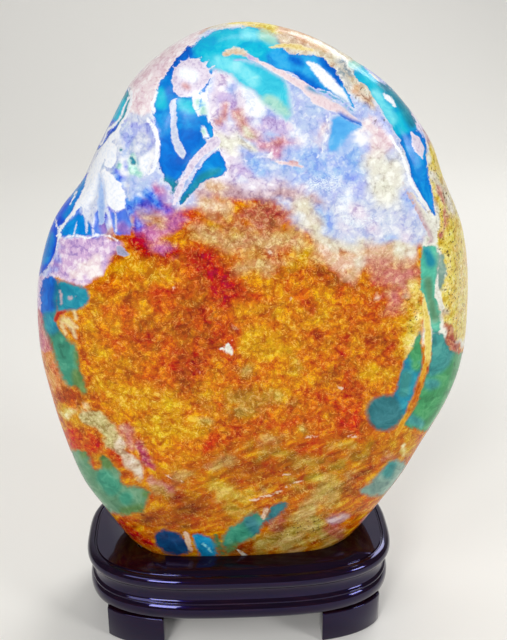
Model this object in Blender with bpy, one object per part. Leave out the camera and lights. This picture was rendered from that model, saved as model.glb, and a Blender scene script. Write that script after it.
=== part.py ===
"""Polished jade boulder standing in a carved and lacquered wooden stand on four feet.

Lengths are millimetres, which MM turns into metres. +Z is up, the front faces -Y, and the origin
is on the floor under the middle of the whole object's box.
"""

import math

import bmesh
import bpy
import numpy as np
from mathutils import Vector, noise

MM = 0.001

# Gaps that stand in for contact: under the board, and all round the boulder in its seat
JOINT_GAP = 0.3
SEAT_GAP = 0.45

# Stand: size and place
STAND_HALF_WIDTH = 107.0
STAND_HALF_DEPTH = 62.5
STAND_CORNER_POWER = 3.0
STAND_OFFSET_X = -12.0
FOOT_HEIGHT = 23.5
BOARD_TOP = 58.0
PLAN_POINTS = 72
EDGE_SAMPLES = 2880
SHARP_EDGE_DEGREES = 40.0

# Board moulding, from the underside out and up to the top: (distance in from the widest line, height)
UNDERSIDE_EDGE = [(5.5, FOOT_HEIGHT)]
LOWER_BEAD = [(3.6, 23.8), (2.2, 25.2), (1.4, 27.6), (1.2, 30.2), (1.6, 32.6), (2.8, 34.6)]
LOWER_FILLET = [(3.4, 35.2), (2.6, 35.9), (2.6, 36.9), (3.4, 37.6)]
COVE = [(4.4, 38.4), (5.0, 41.2), (5.0, 44.4), (4.3, 47.2), (3.2, 48.6)]
UPPER_BEAD = [(1.2, 49.4), (0.3, 51.2), (0.0, 53.2), (0.5, 55.4), (1.7, 57.0), (3.2, 57.8)]
TOP_QUIRK = [(5.0, BOARD_TOP), (5.6, 57.0), (6.4, 57.0), (7.0, BOARD_TOP)]
MOULDING = UNDERSIDE_EDGE + LOWER_BEAD + LOWER_FILLET + COVE + UPPER_BEAD + TOP_QUIRK

# Feet: side (-1 left or front, 1 right or back), and how far along the width each starts and ends
FEET = {
    "foot_front_left": (-1, -1, 53.0, 92.0),
    "foot_front_right": (1, -1, 55.0, 97.0),
    "foot_back_left": (-1, 1, 54.0, 94.0),
    "foot_back_right": (1, 1, 54.0, 94.0),
}
FOOT_CORNER_POWER = 3.3
FOOT_INSET = 2.8
FOOT_THICKNESS = 17.0
FOOT_EDGE_ROUND = 1.4
FOOT_ARC_POINTS = 7

# Boulder: outline seen from the front, before its underside is ground flat, as (x, z) clockwise from the top
OUTLINE = [
    (-3, 406), (26, 400), (55, 386), (81, 366), (102, 340), (112, 317), (120, 301), (130, 279),
    (137, 251), (139, 221), (136, 191), (127, 163), (112, 133), (95, 100), (75, 66), (62, 50),
    (37, 37), (2, 31), (-38, 31), (-70, 39), (-88, 55), (-103, 80), (-121, 112), (-132, 149),
    (-139, 191), (-139, 229), (-135, 261), (-125, 291), (-106, 314), (-96, 333), (-85, 352),
    (-72, 374), (-49, 393), (-25, 403),
]
OUTLINE_CENTRE = (-1.0, 219.0)
OUTLINE_STEPS = 12
FRONT_BULGE = 53.0
BACK_BULGE = 47.0
FACE_FLATNESS = 2.8
SEAT_FLOOR = 51.0
FACE_CELLS = 24
SIDE_CELLS = 9
SIDE_STRETCH = 0.62

# Flats worn on the boulder: (point on the flat, direction it faces, softness of its edge)
WORN_FLATS = {
    "underside": ((0, 0, SEAT_FLOOR), (0.0, 0.0, -1.0), 2.0),
    "upper_left_side": ((-95, -26, 333), (-0.80, -0.42, 0.43), 5.0),
    "lower_right_side": ((109, 4, 113), (0.80, 0.10, -0.59), 7.0),
    "right_band": ((125, -22, 253), (0.88, -0.46, 0.10), 6.0),
    "broad_front": ((0, -49, 223), (0.03, -0.998, 0.05), 9.0),
    "back_upper": ((27, 38, 323), (0.18, 0.88, 0.44), 10.0),
    "back_lower_left": ((-63, 40, 143), (-0.30, 0.93, -0.20), 10.0),
}

# Hollows worn in the front: (x, z of the middle, half width, half height, depth, turn in degrees)
HOLLOWS = {
    "oval_dish": (-73, 332, 17, 24, 2.6, 12),
    "fluted_slope": (-97, 295, 24, 22, 2.2, -30),
    "top_window": (35, 365, 40, 14, 1.6, -30),
    "right_valley": (113, 265, 10, 55, 1.6, 6),
}
UNEVENNESS = [(95.0, 2.4), (38.0, 0.9)]

FINISHES = {
    "jade": ((0.72, 0.29, 0.05, 1.0), 0.16),
    "lacquer": ((0.022, 0.007, 0.010, 1.0), 0.10),
}


def clear_scene():
    for obj in list(bpy.data.objects):
        bpy.data.objects.remove(obj)


def new_collection(name):
    made = bpy.data.collections.new(name)
    bpy.context.scene.collection.children.link(made)
    return made


def finish_material(name):
    colour, roughness = FINISHES[name]
    material = bpy.data.materials.new(name)
    material.use_nodes = True
    shader = material.node_tree.nodes["Principled BSDF"]
    shader.inputs["Base Color"].default_value = colour
    shader.inputs["Roughness"].default_value = roughness
    shader.inputs["Metallic"].default_value = 0.0
    return material


def object_from(name, data, collection, material):
    obj = bpy.data.objects.new(name, data)
    collection.objects.link(obj)
    data.materials.append(material)
    return obj


# Boulder


def smooth_outline():
    """The closed outline as many points, from a Catmull-Rom curve through OUTLINE."""
    knots = np.array(OUTLINE, float)
    before, after, later = np.roll(knots, 1, 0), np.roll(knots, -1, 0), np.roll(knots, -2, 0)
    points = []
    for step in range(OUTLINE_STEPS):
        t = step / OUTLINE_STEPS
        points.append(
            0.5 * (2 * knots + (after - before) * t
                   + (2 * before - 5 * knots + 4 * after - later) * t**2
                   + (3 * knots - before - 3 * after + later) * t**3)
        )
    return np.stack(points, 1).reshape(-1, 2)


def outline_reach():
    """A function that gives the outline's distance from its centre in any direction round it."""
    around = smooth_outline() - np.array(OUTLINE_CENTRE)
    angles = np.arctan2(around[:, 1], around[:, 0])
    order = np.argsort(angles)
    reaches = np.hypot(around[:, 0], around[:, 1])[order]
    return lambda angle: np.interp(angle, angles[order], reaches, period=math.tau)


def on_pebble(direction, reach):
    """Where a direction from the middle meets the boulder before it is worn."""
    across = math.hypot(direction.x, direction.z)
    angle = math.atan2(direction.z, direction.x)
    stretch = (across**FACE_FLATNESS + abs(direction.y) ** FACE_FLATNESS) ** (-1 / FACE_FLATNESS)
    bulge = FRONT_BULGE if direction.y < 0 else BACK_BULGE
    out = across * stretch * float(reach(angle))
    return Vector((
        OUTLINE_CENTRE[0] + out * math.cos(angle),
        direction.y * stretch * bulge,
        OUTLINE_CENTRE[1] + out * math.sin(angle),
    ))


def roughened(point, outward):
    """Slow swells that water leaves on a river stone."""
    swell = sum(height * noise.noise(point / size) for size, height in UNEVENNESS)
    return point + outward * swell


def hollowed(point, facing_front):
    """Sinks the front inside each hollow, deepest at its middle."""
    for x, z, half_width, half_height, depth, turn in HOLLOWS.values():
        angle = math.radians(turn)
        dx, dz = point.x - x, point.z - z
        u = (dx * math.cos(angle) + dz * math.sin(angle)) / half_width
        w = (dz * math.cos(angle) - dx * math.sin(angle)) / half_height
        point.y += facing_front * depth * math.exp(-(u * u + w * w))
    return point


def worn(point):
    """Grinds the point back to each flat that it stands proud of, with a soft edge."""
    for on_flat, facing, softness in WORN_FLATS.values():
        facing = Vector(facing).normalized()
        proud = (point - Vector(on_flat)).dot(facing)
        if proud > softness:
            point = point - facing * proud
        elif proud > -softness:
            point = point - facing * ((proud + softness) ** 2 / (4 * softness))
    return point


def gridded_cube():
    """A cube of 2 units whose front and back carry FACE_CELLS cells each way, and its sides SIDE_CELLS."""
    mesh = bmesh.new()
    bmesh.ops.create_cube(mesh, size=2.0)
    for axis, cells in ((0, FACE_CELLS), (2, FACE_CELLS), (1, SIDE_CELLS)):
        along = [e for e in mesh.edges if abs(e.verts[0].co[axis] - e.verts[1].co[axis]) > 1e-6]
        bmesh.ops.subdivide_edges(mesh, edges=along, cuts=cells - 1, use_grid_fill=True)
    return mesh


def boulder_mesh():
    reach = outline_reach()
    mesh = gridded_cube()
    for vertex in mesh.verts:
        direction = Vector((vertex.co.x, vertex.co.y * SIDE_STRETCH, vertex.co.z)).normalized()
        point = on_pebble(direction, reach)
        point = roughened(point, direction)
        point = hollowed(point, max(0.0, -direction.y))
        vertex.co = worn(point)
    low, high = min(v.co.x for v in mesh.verts), max(v.co.x for v in mesh.verts)
    bmesh.ops.translate(mesh, verts=mesh.verts, vec=Vector((-(low + high) / 2, 0, 0)))
    bmesh.ops.recalc_face_normals(mesh, faces=mesh.faces)
    bmesh.ops.triangulate(mesh, faces=mesh.faces)
    bmesh.ops.scale(mesh, verts=mesh.verts, vec=Vector((MM, MM, MM)))
    return mesh


def make_boulder(collection, material):
    mesh = boulder_mesh()
    data = bpy.data.meshes.new("jade_boulder")
    mesh.to_mesh(data)
    mesh.free()
    data.shade_smooth()
    return object_from("jade_boulder", data, collection, material)


def make_seat_cutter(boulder, collection, material):
    """The boulder grown by the seat's gap all over, which cuts its own seat into the board."""
    mesh = bmesh.new()
    mesh.from_mesh(boulder.data)
    mesh.normal_update()
    for vertex in mesh.verts:
        vertex.co += vertex.normal * SEAT_GAP * MM
    data = bpy.data.meshes.new("seat_cutter")
    mesh.to_mesh(data)
    mesh.free()
    cutter = object_from("seat_cutter", data, collection, material)
    cutter.hide_render = True
    cutter.display_type = "WIRE"
    return cutter


# Stand


def plan_point(angle, inset, corner_power=STAND_CORNER_POWER):
    """A point on the stand's rounded plan, moved in from its edge, with the stand's middle at 0."""
    c, s = math.cos(angle), math.sin(angle)
    x = STAND_HALF_WIDTH * math.copysign(abs(c) ** (2 / corner_power), c)
    y = STAND_HALF_DEPTH * math.copysign(abs(s) ** (2 / corner_power), s)
    outward = Vector((
        math.copysign(abs(x / STAND_HALF_WIDTH) ** (corner_power - 1), x) / STAND_HALF_WIDTH,
        math.copysign(abs(y / STAND_HALF_DEPTH) ** (corner_power - 1), y) / STAND_HALF_DEPTH,
    )).normalized()
    return Vector((x, y)) - outward * inset


def plan_angles():
    """PLAN_POINTS angles that place the plan's points evenly along its edge."""
    fine = np.linspace(0, math.tau, EDGE_SAMPLES + 1)
    edge = np.array([plan_point(a, 0.0) for a in fine])
    along = np.concatenate([[0], np.cumsum(np.hypot(*np.diff(edge, axis=0).T))])
    return np.interp(np.arange(PLAN_POINTS) / PLAN_POINTS * along[-1], along, fine)


def make_board(collection, material, cutter):
    """The board: its plan at the underside, then extruded ring by ring up the moulding."""
    mesh = bmesh.new()
    angles = plan_angles()
    step = mesh.verts.layers.int.new("step")
    bmesh.ops.create_circle(mesh, cap_ends=True, segments=PLAN_POINTS, radius=1.0)
    cap = next(iter(mesh.faces))
    for number, vertex in enumerate(cap.verts):
        vertex[step] = number
    for inset, height in MOULDING:
        for vertex in cap.verts:
            vertex.co = (*plan_point(angles[vertex[step]], inset), height)
        if (inset, height) != MOULDING[-1]:
            grown = bmesh.ops.extrude_face_region(mesh, geom=[cap, *cap.edges])["geom"]
            cap = next(g for g in grown if isinstance(g, bmesh.types.BMFace))
    bmesh.ops.translate(mesh, verts=mesh.verts, vec=Vector((STAND_OFFSET_X, 0, 0)))
    bmesh.ops.recalc_face_normals(mesh, faces=mesh.faces)
    bmesh.ops.scale(mesh, verts=mesh.verts, vec=Vector((MM, MM, MM)))
    data = bpy.data.meshes.new("stand_board")
    mesh.to_mesh(data)
    mesh.free()
    data.shade_smooth()
    data.set_sharp_from_angle(angle=math.radians(SHARP_EDGE_DEGREES))
    board = object_from("stand_board", data, collection, material)
    seat = board.modifiers.new("boulder_seat", "BOOLEAN")
    seat.operation = "DIFFERENCE"
    seat.object = cutter


def foot_outline(start, end):
    """A foot's plan: a stretch of the stand's edge, and the same stretch further in."""
    def edge(angle, inset):
        return plan_point(angle, inset, FOOT_CORNER_POWER)

    fine = np.linspace(0, math.pi / 2, EDGE_SAMPLES // 4 + 1)
    along = [a for a in fine if start <= edge(a, FOOT_INSET).x <= end]
    picked = [along[round(i * (len(along) - 1) / (FOOT_ARC_POINTS - 1))] for i in range(FOOT_ARC_POINTS)]
    outer = [edge(a, FOOT_INSET) for a in picked]
    return outer + [edge(a, FOOT_INSET + FOOT_THICKNESS) for a in reversed(picked)]


def make_foot(name, collection, material):
    """A curved block under one corner of the board, its plan extruded to height."""
    side_x, side_y, start, end = FEET[name]
    points = foot_outline(start, end)
    height = FOOT_HEIGHT - JOINT_GAP
    curve = bpy.data.curves.new(name, "CURVE")
    curve.dimensions = "2D"
    curve.fill_mode = "BOTH"
    spline = curve.splines.new("POLY")
    spline.points.add(len(points) - 1)
    for knot, point in zip(spline.points, points):
        knot.co = (point.x * side_x * MM, point.y * side_y * MM, 0, 1)
    spline.use_cyclic_u = True
    curve.bevel_depth = FOOT_EDGE_ROUND * MM
    curve.bevel_resolution = 1
    curve.offset = -FOOT_EDGE_ROUND * MM
    curve.extrude = (height / 2 - FOOT_EDGE_ROUND) * MM
    foot = object_from(name, curve, collection, material)
    foot.location = (STAND_OFFSET_X * MM, 0, height / 2 * MM)


def main():
    clear_scene()
    parts = new_collection("jade_boulder_on_stand")
    cutters = new_collection("cutters")
    jade, lacquer = finish_material("jade"), finish_material("lacquer")
    boulder = make_boulder(parts, jade)
    cutter = make_seat_cutter(boulder, cutters, lacquer)
    make_board(parts, lacquer, cutter)
    for name in FEET:
        make_foot(name, parts, lacquer)


main()
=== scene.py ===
import math

import bmesh
import bpy
import numpy as np
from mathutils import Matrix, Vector, noise


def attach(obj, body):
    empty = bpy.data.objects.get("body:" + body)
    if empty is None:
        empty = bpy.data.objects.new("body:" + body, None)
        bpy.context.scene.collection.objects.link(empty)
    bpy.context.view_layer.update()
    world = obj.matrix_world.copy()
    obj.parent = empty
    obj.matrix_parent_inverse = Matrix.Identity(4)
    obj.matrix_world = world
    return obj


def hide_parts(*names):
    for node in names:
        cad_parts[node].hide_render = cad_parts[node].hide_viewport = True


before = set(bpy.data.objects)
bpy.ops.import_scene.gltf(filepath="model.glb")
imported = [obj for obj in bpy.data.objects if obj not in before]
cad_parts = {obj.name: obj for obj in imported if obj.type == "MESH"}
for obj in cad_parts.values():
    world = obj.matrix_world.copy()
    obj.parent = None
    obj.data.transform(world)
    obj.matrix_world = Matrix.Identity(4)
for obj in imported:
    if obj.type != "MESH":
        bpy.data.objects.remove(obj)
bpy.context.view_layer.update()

MM = 0.001


# Lacquer on the stand.
# Carved hardwood under several coats of dark lacquer, rubbed out to a high gloss.
# The eye sees near-black with a red-brown warmth, hard mirror-like highlights with a blue edge,
# and, where the light grazes it, the faint long grain of the wood under the coats.


def linear(hex_colour, alpha=1.0):
    """An sRGB hex colour as the linear RGBA that Blender's sockets hold."""
    parts = [int(hex_colour[i:i + 2], 16) / 255 for i in (1, 3, 5)]
    return tuple(c / 12.92 if c <= 0.04045 else ((c + 0.055) / 1.055) ** 2.4 for c in parts) + (alpha,)


def add_node(tree, kind, inputs=None, stops=None, **settings):
    """Adds a shader node. inputs gives a socket its value, or the output that feeds it."""
    made = tree.nodes.new("ShaderNode" + kind)
    for name, value in settings.items():
        setattr(made, name, value)
    for socket, value in (inputs or {}).items():
        if isinstance(value, bpy.types.NodeSocket):
            tree.links.new(value, made.inputs[socket])
        else:
            made.inputs[socket].default_value = value
    if stops:
        ramp = made.color_ramp.elements
        while len(ramp) < len(stops):
            ramp.new(0.5)
        for element, (place, colour) in zip(ramp, stops):
            element.position = place
            element.color = linear(colour)
    return made


def per_metre(size):
    """The scale of a pattern on Object coordinates, which are metres, whose features are size mm."""
    return 1.0 / (size * MM)


def new_material(name):
    material = bpy.data.materials.new(name)
    material.use_nodes = True
    material.node_tree.nodes.clear()
    return material, material.node_tree


# The wood's pores are 0.2 mm wide and 3 to 10 mm long. They are drawn 1.2 mm wide, so they show
GRAIN_WIDTH = 1.2
GRAIN_LENGTH = 26.0
BRUSHED_COAT = 30.0

lacquer, tree = new_material("lacquered_hardwood")
place = add_node(tree, "TexCoord").outputs["Object"]
along_grain = add_node(tree, "Mapping", {
    "Vector": place,
    "Scale": (GRAIN_WIDTH / GRAIN_LENGTH, 1.0, 1.0),
}).outputs["Vector"]
grain = add_node(tree, "TexNoise", {
    "Vector": along_grain, "Scale": per_metre(GRAIN_WIDTH), "Detail": 4.0, "Roughness": 0.6,
}).outputs["Fac"]
coats = add_node(tree, "TexNoise", {
    "Vector": place, "Scale": per_metre(BRUSHED_COAT), "Detail": 2.0,
}).outputs["Fac"]
wood_colour = add_node(
    tree, "ValToRGB", {"Fac": grain},
    stops=[(0.30, "#0a0206"), (0.55, "#18060e"), (0.72, "#2a0c10")],
).outputs["Color"]
worn_gloss = add_node(tree, "MapRange", {
    "Value": coats, "From Min": 0.3, "From Max": 0.7, "To Min": 0.07, "To Max": 0.13,
}).outputs["Result"]
ripple = add_node(tree, "Bump", {
    "Height": grain, "Strength": 0.08, "Distance": 0.0001,
}).outputs["Normal"]
shader = add_node(tree, "BsdfPrincipled", {
    "Base Color": wood_colour, "Roughness": worn_gloss, "Normal": ripple, "IOR": 1.52,
    "Specular Tint": linear("#2434ff"), "Specular IOR Level": 0.38,
    "Coat Weight": 0.5, "Coat Roughness": 0.03,
})
add_node(tree, "OutputMaterial", {"Surface": shader.outputs["BSDF"]})

# Stand board.
# One piece of hardwood, carved all round with a lower bead, a thin fillet, a cove and an upper
# bead, and with a quirk on top that leaves a thin raised line. The stone's seat is cut into it.
BOARD_HALF_WIDTH = 107.0
BOARD_HALF_DEPTH = 62.5
BOARD_CORNER_POWER = 3.0
BOARD_OFFSET_X = -12.0
BOARD_UNDERSIDE = 23.5
BOARD_TOP = 58.0
EDGE_POINTS = 240
EDGE_SAMPLES = 4800
CURVE_STEPS = 4
SEAT_GAP = 0.45
# Edges that turn more than this, in degrees, are shaded sharp
BOARD_SHARP_ANGLE = 34.0
# Points of a CAD mesh that are closer than this, in mm, are one point
MERGE_BELOW = 0.001

# Each run of the moulding, from the underside up: (distance in from the widest line, height)
MOULDING = {
    "underside_edge": [(5.5, BOARD_UNDERSIDE), (4.4, 23.55)],
    "lower_bead": [(3.6, 23.8), (2.2, 25.2), (1.4, 27.6), (1.2, 30.2), (1.6, 32.6), (2.8, 34.6)],
    "lower_fillet": [(3.4, 35.2), (2.7, 35.8), (2.6, 36.4), (2.7, 37.0), (3.4, 37.6)],
    "cove": [(4.4, 38.4), (5.0, 41.2), (5.0, 44.4), (4.3, 47.2), (3.2, 48.6)],
    "upper_bead": [(1.2, 49.4), (0.3, 51.2), (0.0, 53.2), (0.5, 55.4), (1.7, 57.0), (3.2, 57.8)],
    "top_quirk": [(5.0, BOARD_TOP), (5.5, 57.1), (6.0, 56.9), (6.5, 57.1), (7.0, BOARD_TOP)],
}


def rounded_run(points):
    """A Catmull-Rom curve through one run of the moulding, so that its round catches light evenly."""
    knots = np.array([points[0]] + points + [points[-1]], float)
    run = []
    for before, start, end, after in zip(knots, knots[1:], knots[2:], knots[3:]):
        for step in range(CURVE_STEPS):
            t = step / CURVE_STEPS
            run.append(0.5 * (
                2 * start + (end - before) * t + (2 * before - 5 * start + 4 * end - after) * t**2
                + (3 * start - before - 3 * end + after) * t**3
            ))
    return run + [knots[-1]]


def board_edge(angle, inset, power=BOARD_CORNER_POWER):
    """A point of the board's rounded plan, moved in from its widest line."""
    half = (BOARD_HALF_WIDTH, BOARD_HALF_DEPTH)
    turn = (math.cos(angle), math.sin(angle))
    edge = [h * math.copysign(abs(c) ** (2 / power), c) for h, c in zip(half, turn)]
    outward = Vector([math.copysign(abs(e / h) ** (power - 1), e) / h for e, h in zip(edge, half)])
    return Vector(edge) - outward.normalized() * inset


def show_finished(name, mesh, material, sharp_angle=None):
    """Turns a bmesh in metres into a shown object at the origin, smooth but for its sharp edges."""
    data = bpy.data.meshes.new(name)
    mesh.to_mesh(data)
    mesh.free()
    data.shade_smooth()
    if sharp_angle is not None:
        data.set_sharp_from_angle(angle=math.radians(sharp_angle))
    data.materials.append(material)
    piece = bpy.data.objects.new(name, data)
    bpy.context.scene.collection.objects.link(piece)
    return piece


def applied(piece):
    """The piece's mesh with its modifiers applied, which then takes the mesh's place."""
    shaped = bpy.data.meshes.new_from_object(piece.evaluated_get(bpy.context.evaluated_depsgraph_get()))
    piece.modifiers.clear()
    piece.data = shaped
    return piece


fine = np.linspace(0, math.tau, EDGE_SAMPLES + 1)
edge = np.array([board_edge(a, 0.0) for a in fine])
along_edge = np.concatenate([[0], np.cumsum(np.hypot(*np.diff(edge, axis=0).T))])
angles = np.interp(np.arange(EDGE_POINTS) / EDGE_POINTS * along_edge[-1], along_edge, fine)
mesh = bmesh.new()
step_layer = mesh.verts.layers.int.new("step")
bmesh.ops.create_circle(mesh, cap_ends=True, segments=EDGE_POINTS, radius=1.0)
cap = next(iter(mesh.faces))
for number, vertex in enumerate(cap.verts):
    vertex[step_layer] = number
profile = [tuple(point) for run in MOULDING.values() for point in rounded_run(run)]
for inset, height in profile:
    for vertex in cap.verts:
        vertex.co = (*board_edge(angles[vertex[step_layer]], max(inset, 0.0)), min(height, BOARD_TOP))
    if (inset, height) != profile[-1]:
        grown = bmesh.ops.extrude_face_region(mesh, geom=[cap, *cap.edges])["geom"]
        cap = next(g for g in grown if isinstance(g, bmesh.types.BMFace))
bmesh.ops.translate(mesh, verts=mesh.verts, vec=Vector((BOARD_OFFSET_X, 0, 0)))
bmesh.ops.scale(mesh, verts=mesh.verts, vec=Vector((MM, MM, MM)))
bmesh.ops.recalc_face_normals(mesh, faces=mesh.faces)
board = show_finished("lacquered_board", mesh, lacquer)

cutting = bmesh.new()
cutting.from_mesh(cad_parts["jade_boulder"].data)
bmesh.ops.remove_doubles(cutting, verts=cutting.verts, dist=MERGE_BELOW * MM)
cutting.normal_update()
for vertex in cutting.verts:
    vertex.co += vertex.normal * SEAT_GAP * MM
cutter = show_finished("seat_cutter", cutting, lacquer)
seat = board.modifiers.new("seat", "BOOLEAN")
seat.operation = "DIFFERENCE"
seat.object = cutter
applied(board)
bpy.data.objects.remove(cutter)
board.data.shade_smooth()
board.data.set_sharp_from_angle(angle=math.radians(BOARD_SHARP_ANGLE))
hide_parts("stand_board")
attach(board, "root")

# Feet.
# Four short pieces of the same hardwood, sawn to the curve of the board's edge, planed square at
# the ends, their corners eased with abrasive paper, glued under the board and lacquered with it.
FOOT_CORNER_POWER = 3.3
FOOT_INSET = 2.8
FOOT_THICKNESS = 17.0
FOOT_TOP = 23.2
FOOT_EASING = 0.9
FOOT_EASING_STEPS = 3
FOOT_STEPS = 24
QUARTER_SAMPLES = 600
# Degrees between faces: edges above the first are eased, and above the second are shaded sharp
FOOT_EASED_ABOVE = 50.0
FOOT_SHARP_ANGLE = 40.0
# Name: side in x, side in y, start and end in mm along the board from its middle
FEET = {
    "foot_front_left": (-1, -1, 53.0, 92.0), "foot_front_right": (1, -1, 55.0, 97.0),
    "foot_back_left": (-1, 1, 54.0, 94.0), "foot_back_right": (1, 1, 54.0, 94.0),
}

quarter = np.linspace(0.0, math.pi / 2, QUARTER_SAMPLES)
for name, (side_x, side_y, start, end) in FEET.items():
    mesh = bmesh.new()
    bmesh.ops.create_grid(mesh, x_segments=FOOT_STEPS, y_segments=1, size=0.5)
    rows = {
        row: np.array([
            board_edge(a, FOOT_INSET + (row + 0.5) * FOOT_THICKNESS, FOOT_CORNER_POWER) for a in quarter
        ])
        for row in (-0.5, 0.5)
    }
    for vertex in mesh.verts:
        edge = rows[round(vertex.co.y * 2) / 2]
        along = start + (vertex.co.x + 0.5) * (end - start)
        across = np.interp(along, edge[::-1, 0], edge[::-1, 1])
        vertex.co = (BOARD_OFFSET_X + side_x * along, side_y * across, 0)
    grown = bmesh.ops.extrude_face_region(mesh, geom=[*mesh.faces])["geom"]
    raised = [g for g in grown if isinstance(g, bmesh.types.BMVert)]
    bmesh.ops.translate(mesh, verts=raised, vec=(0, 0, FOOT_TOP))
    bmesh.ops.recalc_face_normals(mesh, faces=mesh.faces)
    corners = [e for e in mesh.edges if e.calc_face_angle(0) > math.radians(FOOT_EASED_ABOVE)]
    bmesh.ops.bevel(
        mesh, geom=corners, offset=FOOT_EASING, segments=FOOT_EASING_STEPS, profile=0.5,
        affect="EDGES", material=-1,
    )
    bmesh.ops.scale(mesh, verts=mesh.verts, vec=Vector((MM, MM, MM)))
    foot = show_finished(name + "_lacquered", mesh, lacquer, FOOT_SHARP_ANGLE)
    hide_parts(name)
    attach(foot, "root")

# Viewpoint.
# The marks on the stone were drawn from where the photograph was taken, so the camera comes
# before them: a mark's column and row are pixels of the 507 x 640 frame seen from here.
FRAME_COLUMNS, FRAME_ROWS = 507, 640
FOCAL_PIXELS = 970.0
SENSOR_WIDTH = 36.0
AIM = Vector((-0.0015, 0.0, 0.2177))
AIM_DISTANCE = 0.631
LOOK_DOWN = math.radians(24.0)
LOOK_ROUND = math.radians(-2.8)

toward_camera = Vector((
    math.sin(LOOK_ROUND) * math.cos(LOOK_DOWN),
    -math.cos(LOOK_ROUND) * math.cos(LOOK_DOWN),
    math.sin(LOOK_DOWN),
))
facing = (-toward_camera).to_track_quat("-Z", "Y")
camera = bpy.data.objects.new("camera", bpy.data.cameras.new("camera"))
camera.data.sensor_width = SENSOR_WIDTH
camera.data.lens = FOCAL_PIXELS / FRAME_ROWS * SENSOR_WIDTH
camera.location = AIM + toward_camera * AIM_DISTANCE
camera.rotation_euler = facing.to_euler()
bpy.context.scene.collection.objects.link(camera)
bpy.context.scene.camera = camera
camera_axes = facing.to_matrix()

# Stone, its shape.
# One natural river-worn boulder, ground flat underneath and polished all over. It starts from
# the CAD node's mesh, which is rounded, then made finer where its front shows.
ROUNDING_LEVELS = 2
RELAX_STEPS = 2
# Cosine between a face and the line to the camera, above which the face gets the finer mesh
FRONT_FACING = -0.12

jade, tree = new_material("polished_nephrite_jade")
mesh = bmesh.new()
mesh.from_mesh(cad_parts["jade_boulder"].data)
bmesh.ops.remove_doubles(mesh, verts=mesh.verts, dist=MERGE_BELOW * MM)
bmesh.ops.join_triangles(
    mesh, faces=mesh.faces, angle_face_threshold=math.pi, angle_shape_threshold=math.pi,
)
stone = show_finished("polished_stone", mesh, jade)
rounding = stone.modifiers.new("rounding", "SUBSURF")
rounding.levels = rounding.render_levels = ROUNDING_LEVELS
applied(stone)
mesh = bmesh.new()
mesh.from_mesh(stone.data)
mesh.normal_update()
shown = [f for f in mesh.faces if f.normal.dot(toward_camera) > FRONT_FACING]
shown_edges = list(dict.fromkeys(e for f in shown for e in f.edges))
bmesh.ops.subdivide_edges(mesh, edges=shown_edges, cuts=1, use_grid_fill=True)
for _ in range(RELAX_STEPS):
    bmesh.ops.smooth_vert(
        mesh, verts=mesh.verts, factor=0.5, use_axis_x=True, use_axis_y=True, use_axis_z=True,
    )
mesh.normal_update()
mesh.verts.ensure_lookup_table()
spots = np.array([v.co for v in mesh.verts]) / MM
normals = np.array([v.normal for v in mesh.verts])

# Stone, its marks.
# The colours are minerals in the stone, so a mark goes right through it and comes out at the back,
# shifted as a seam that runs askew would be. Marks are drawn in the photograph's pixels: points
# with a half width make a line, and points without one are the corners of an area.
PIXEL_MM = AIM_DISTANCE / FOCAL_PIXELS / MM
# How many pixels a seam is shifted by the time it comes out at the back: across, down, and in
# swirls and crumples of a size in mm. The shift grows as the surface turns from the camera
SEAM_DRIFT = 30.0
SEAM_DROP = 78.0
SEAM_SWIRL = 66.0
SWIRL_SIZE = 55.0
SEAM_CRUMPLE = 26.0
CRUMPLE_SIZE = 14.0
SHIFT_FROM, SHIFT_TO = -0.26, 0.34
# How far a drawn edge strays, each a size and a height in mm
LOOSE_STRAY = [(30.0, 5.0), (9.0, 2.6)]
FIRM_STRAY = (7.0, 0.9)
RAGGED_SIZE, RAGGED_HEIGHT = 9.0, 3.4
# A wash whose feather is this wide has the full ragged edge, and a narrow one fades more tightly
FULLY_RAGGED = 4.0
NARROW_FEATHER = 2.5
NARROW_FADE, WIDE_FADE = 0.6, 0.85
# How far outside and inside a mark, in mm, its colour gives way to its neighbour's in one layer
LAYER_BLEND = (-3.2, 0.8)
PATCH_FADE = 3.0
BED_FADE = 8.0
# Red less blue of a fully warm body. Golden threads and cracks show by how warm the body is
WARM_BODY = 0.45
LEAST_WARMTH = 0.12
NOTHING_NEAR = -12.0

from_camera = spots * MM - np.array(camera.location)
away = from_camera @ -np.array(toward_camera)
seen = np.stack([
    FRAME_COLUMNS / 2 + FOCAL_PIXELS * (from_camera @ np.array(camera_axes.col[0])) / away,
    FRAME_ROWS / 2 - FOCAL_PIXELS * (from_camera @ np.array(camera_axes.col[1])) / away,
], 1)


def mm_inside(places, lines):
    """How far each place lies inside the drawn lines and areas, in mm, and negative outside them."""
    inside = np.full(len(places), NOTHING_NEAR)
    for line in lines:
        corners = np.array(line, float)
        is_area = corners.shape[1] == 2
        if is_area:
            corners = np.hstack([np.vstack([corners, corners[:1]]), np.zeros((len(corners) + 1, 1))])
        elif len(corners) == 1:
            corners = np.vstack([corners, corners])
        margin = corners[:, 2].max() - NOTHING_NEAR / PIXEL_MM
        points = corners[:, :2]
        low, high = points.min(0) - margin, points.max(0) + margin
        near = np.all((places > low) & (places < high), axis=1)
        chosen = places[near]
        reach, within = np.full(len(chosen), -np.inf), np.zeros(len(chosen), bool)
        for (ax, ay, start_width), (bx, by, end_width) in zip(corners, corners[1:]):
            x, y, along_x, along_y = chosen[:, 0] - ax, chosen[:, 1] - ay, bx - ax, by - ay
            t = np.clip((x * along_x + y * along_y) / max(along_x**2 + along_y**2, 1e-9), 0, 1)
            width = start_width + t * (end_width - start_width)
            reach = np.maximum(reach, width - np.hypot(x - t * along_x, y - t * along_y))
            if is_area and along_y:
                within ^= ((y < 0) != (y < along_y)) & (x < y * along_x / along_y)
        reach = np.where(within, -reach, reach)
        inside[near] = np.maximum(inside[near], reach * PIXEL_MM)
    return inside


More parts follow.
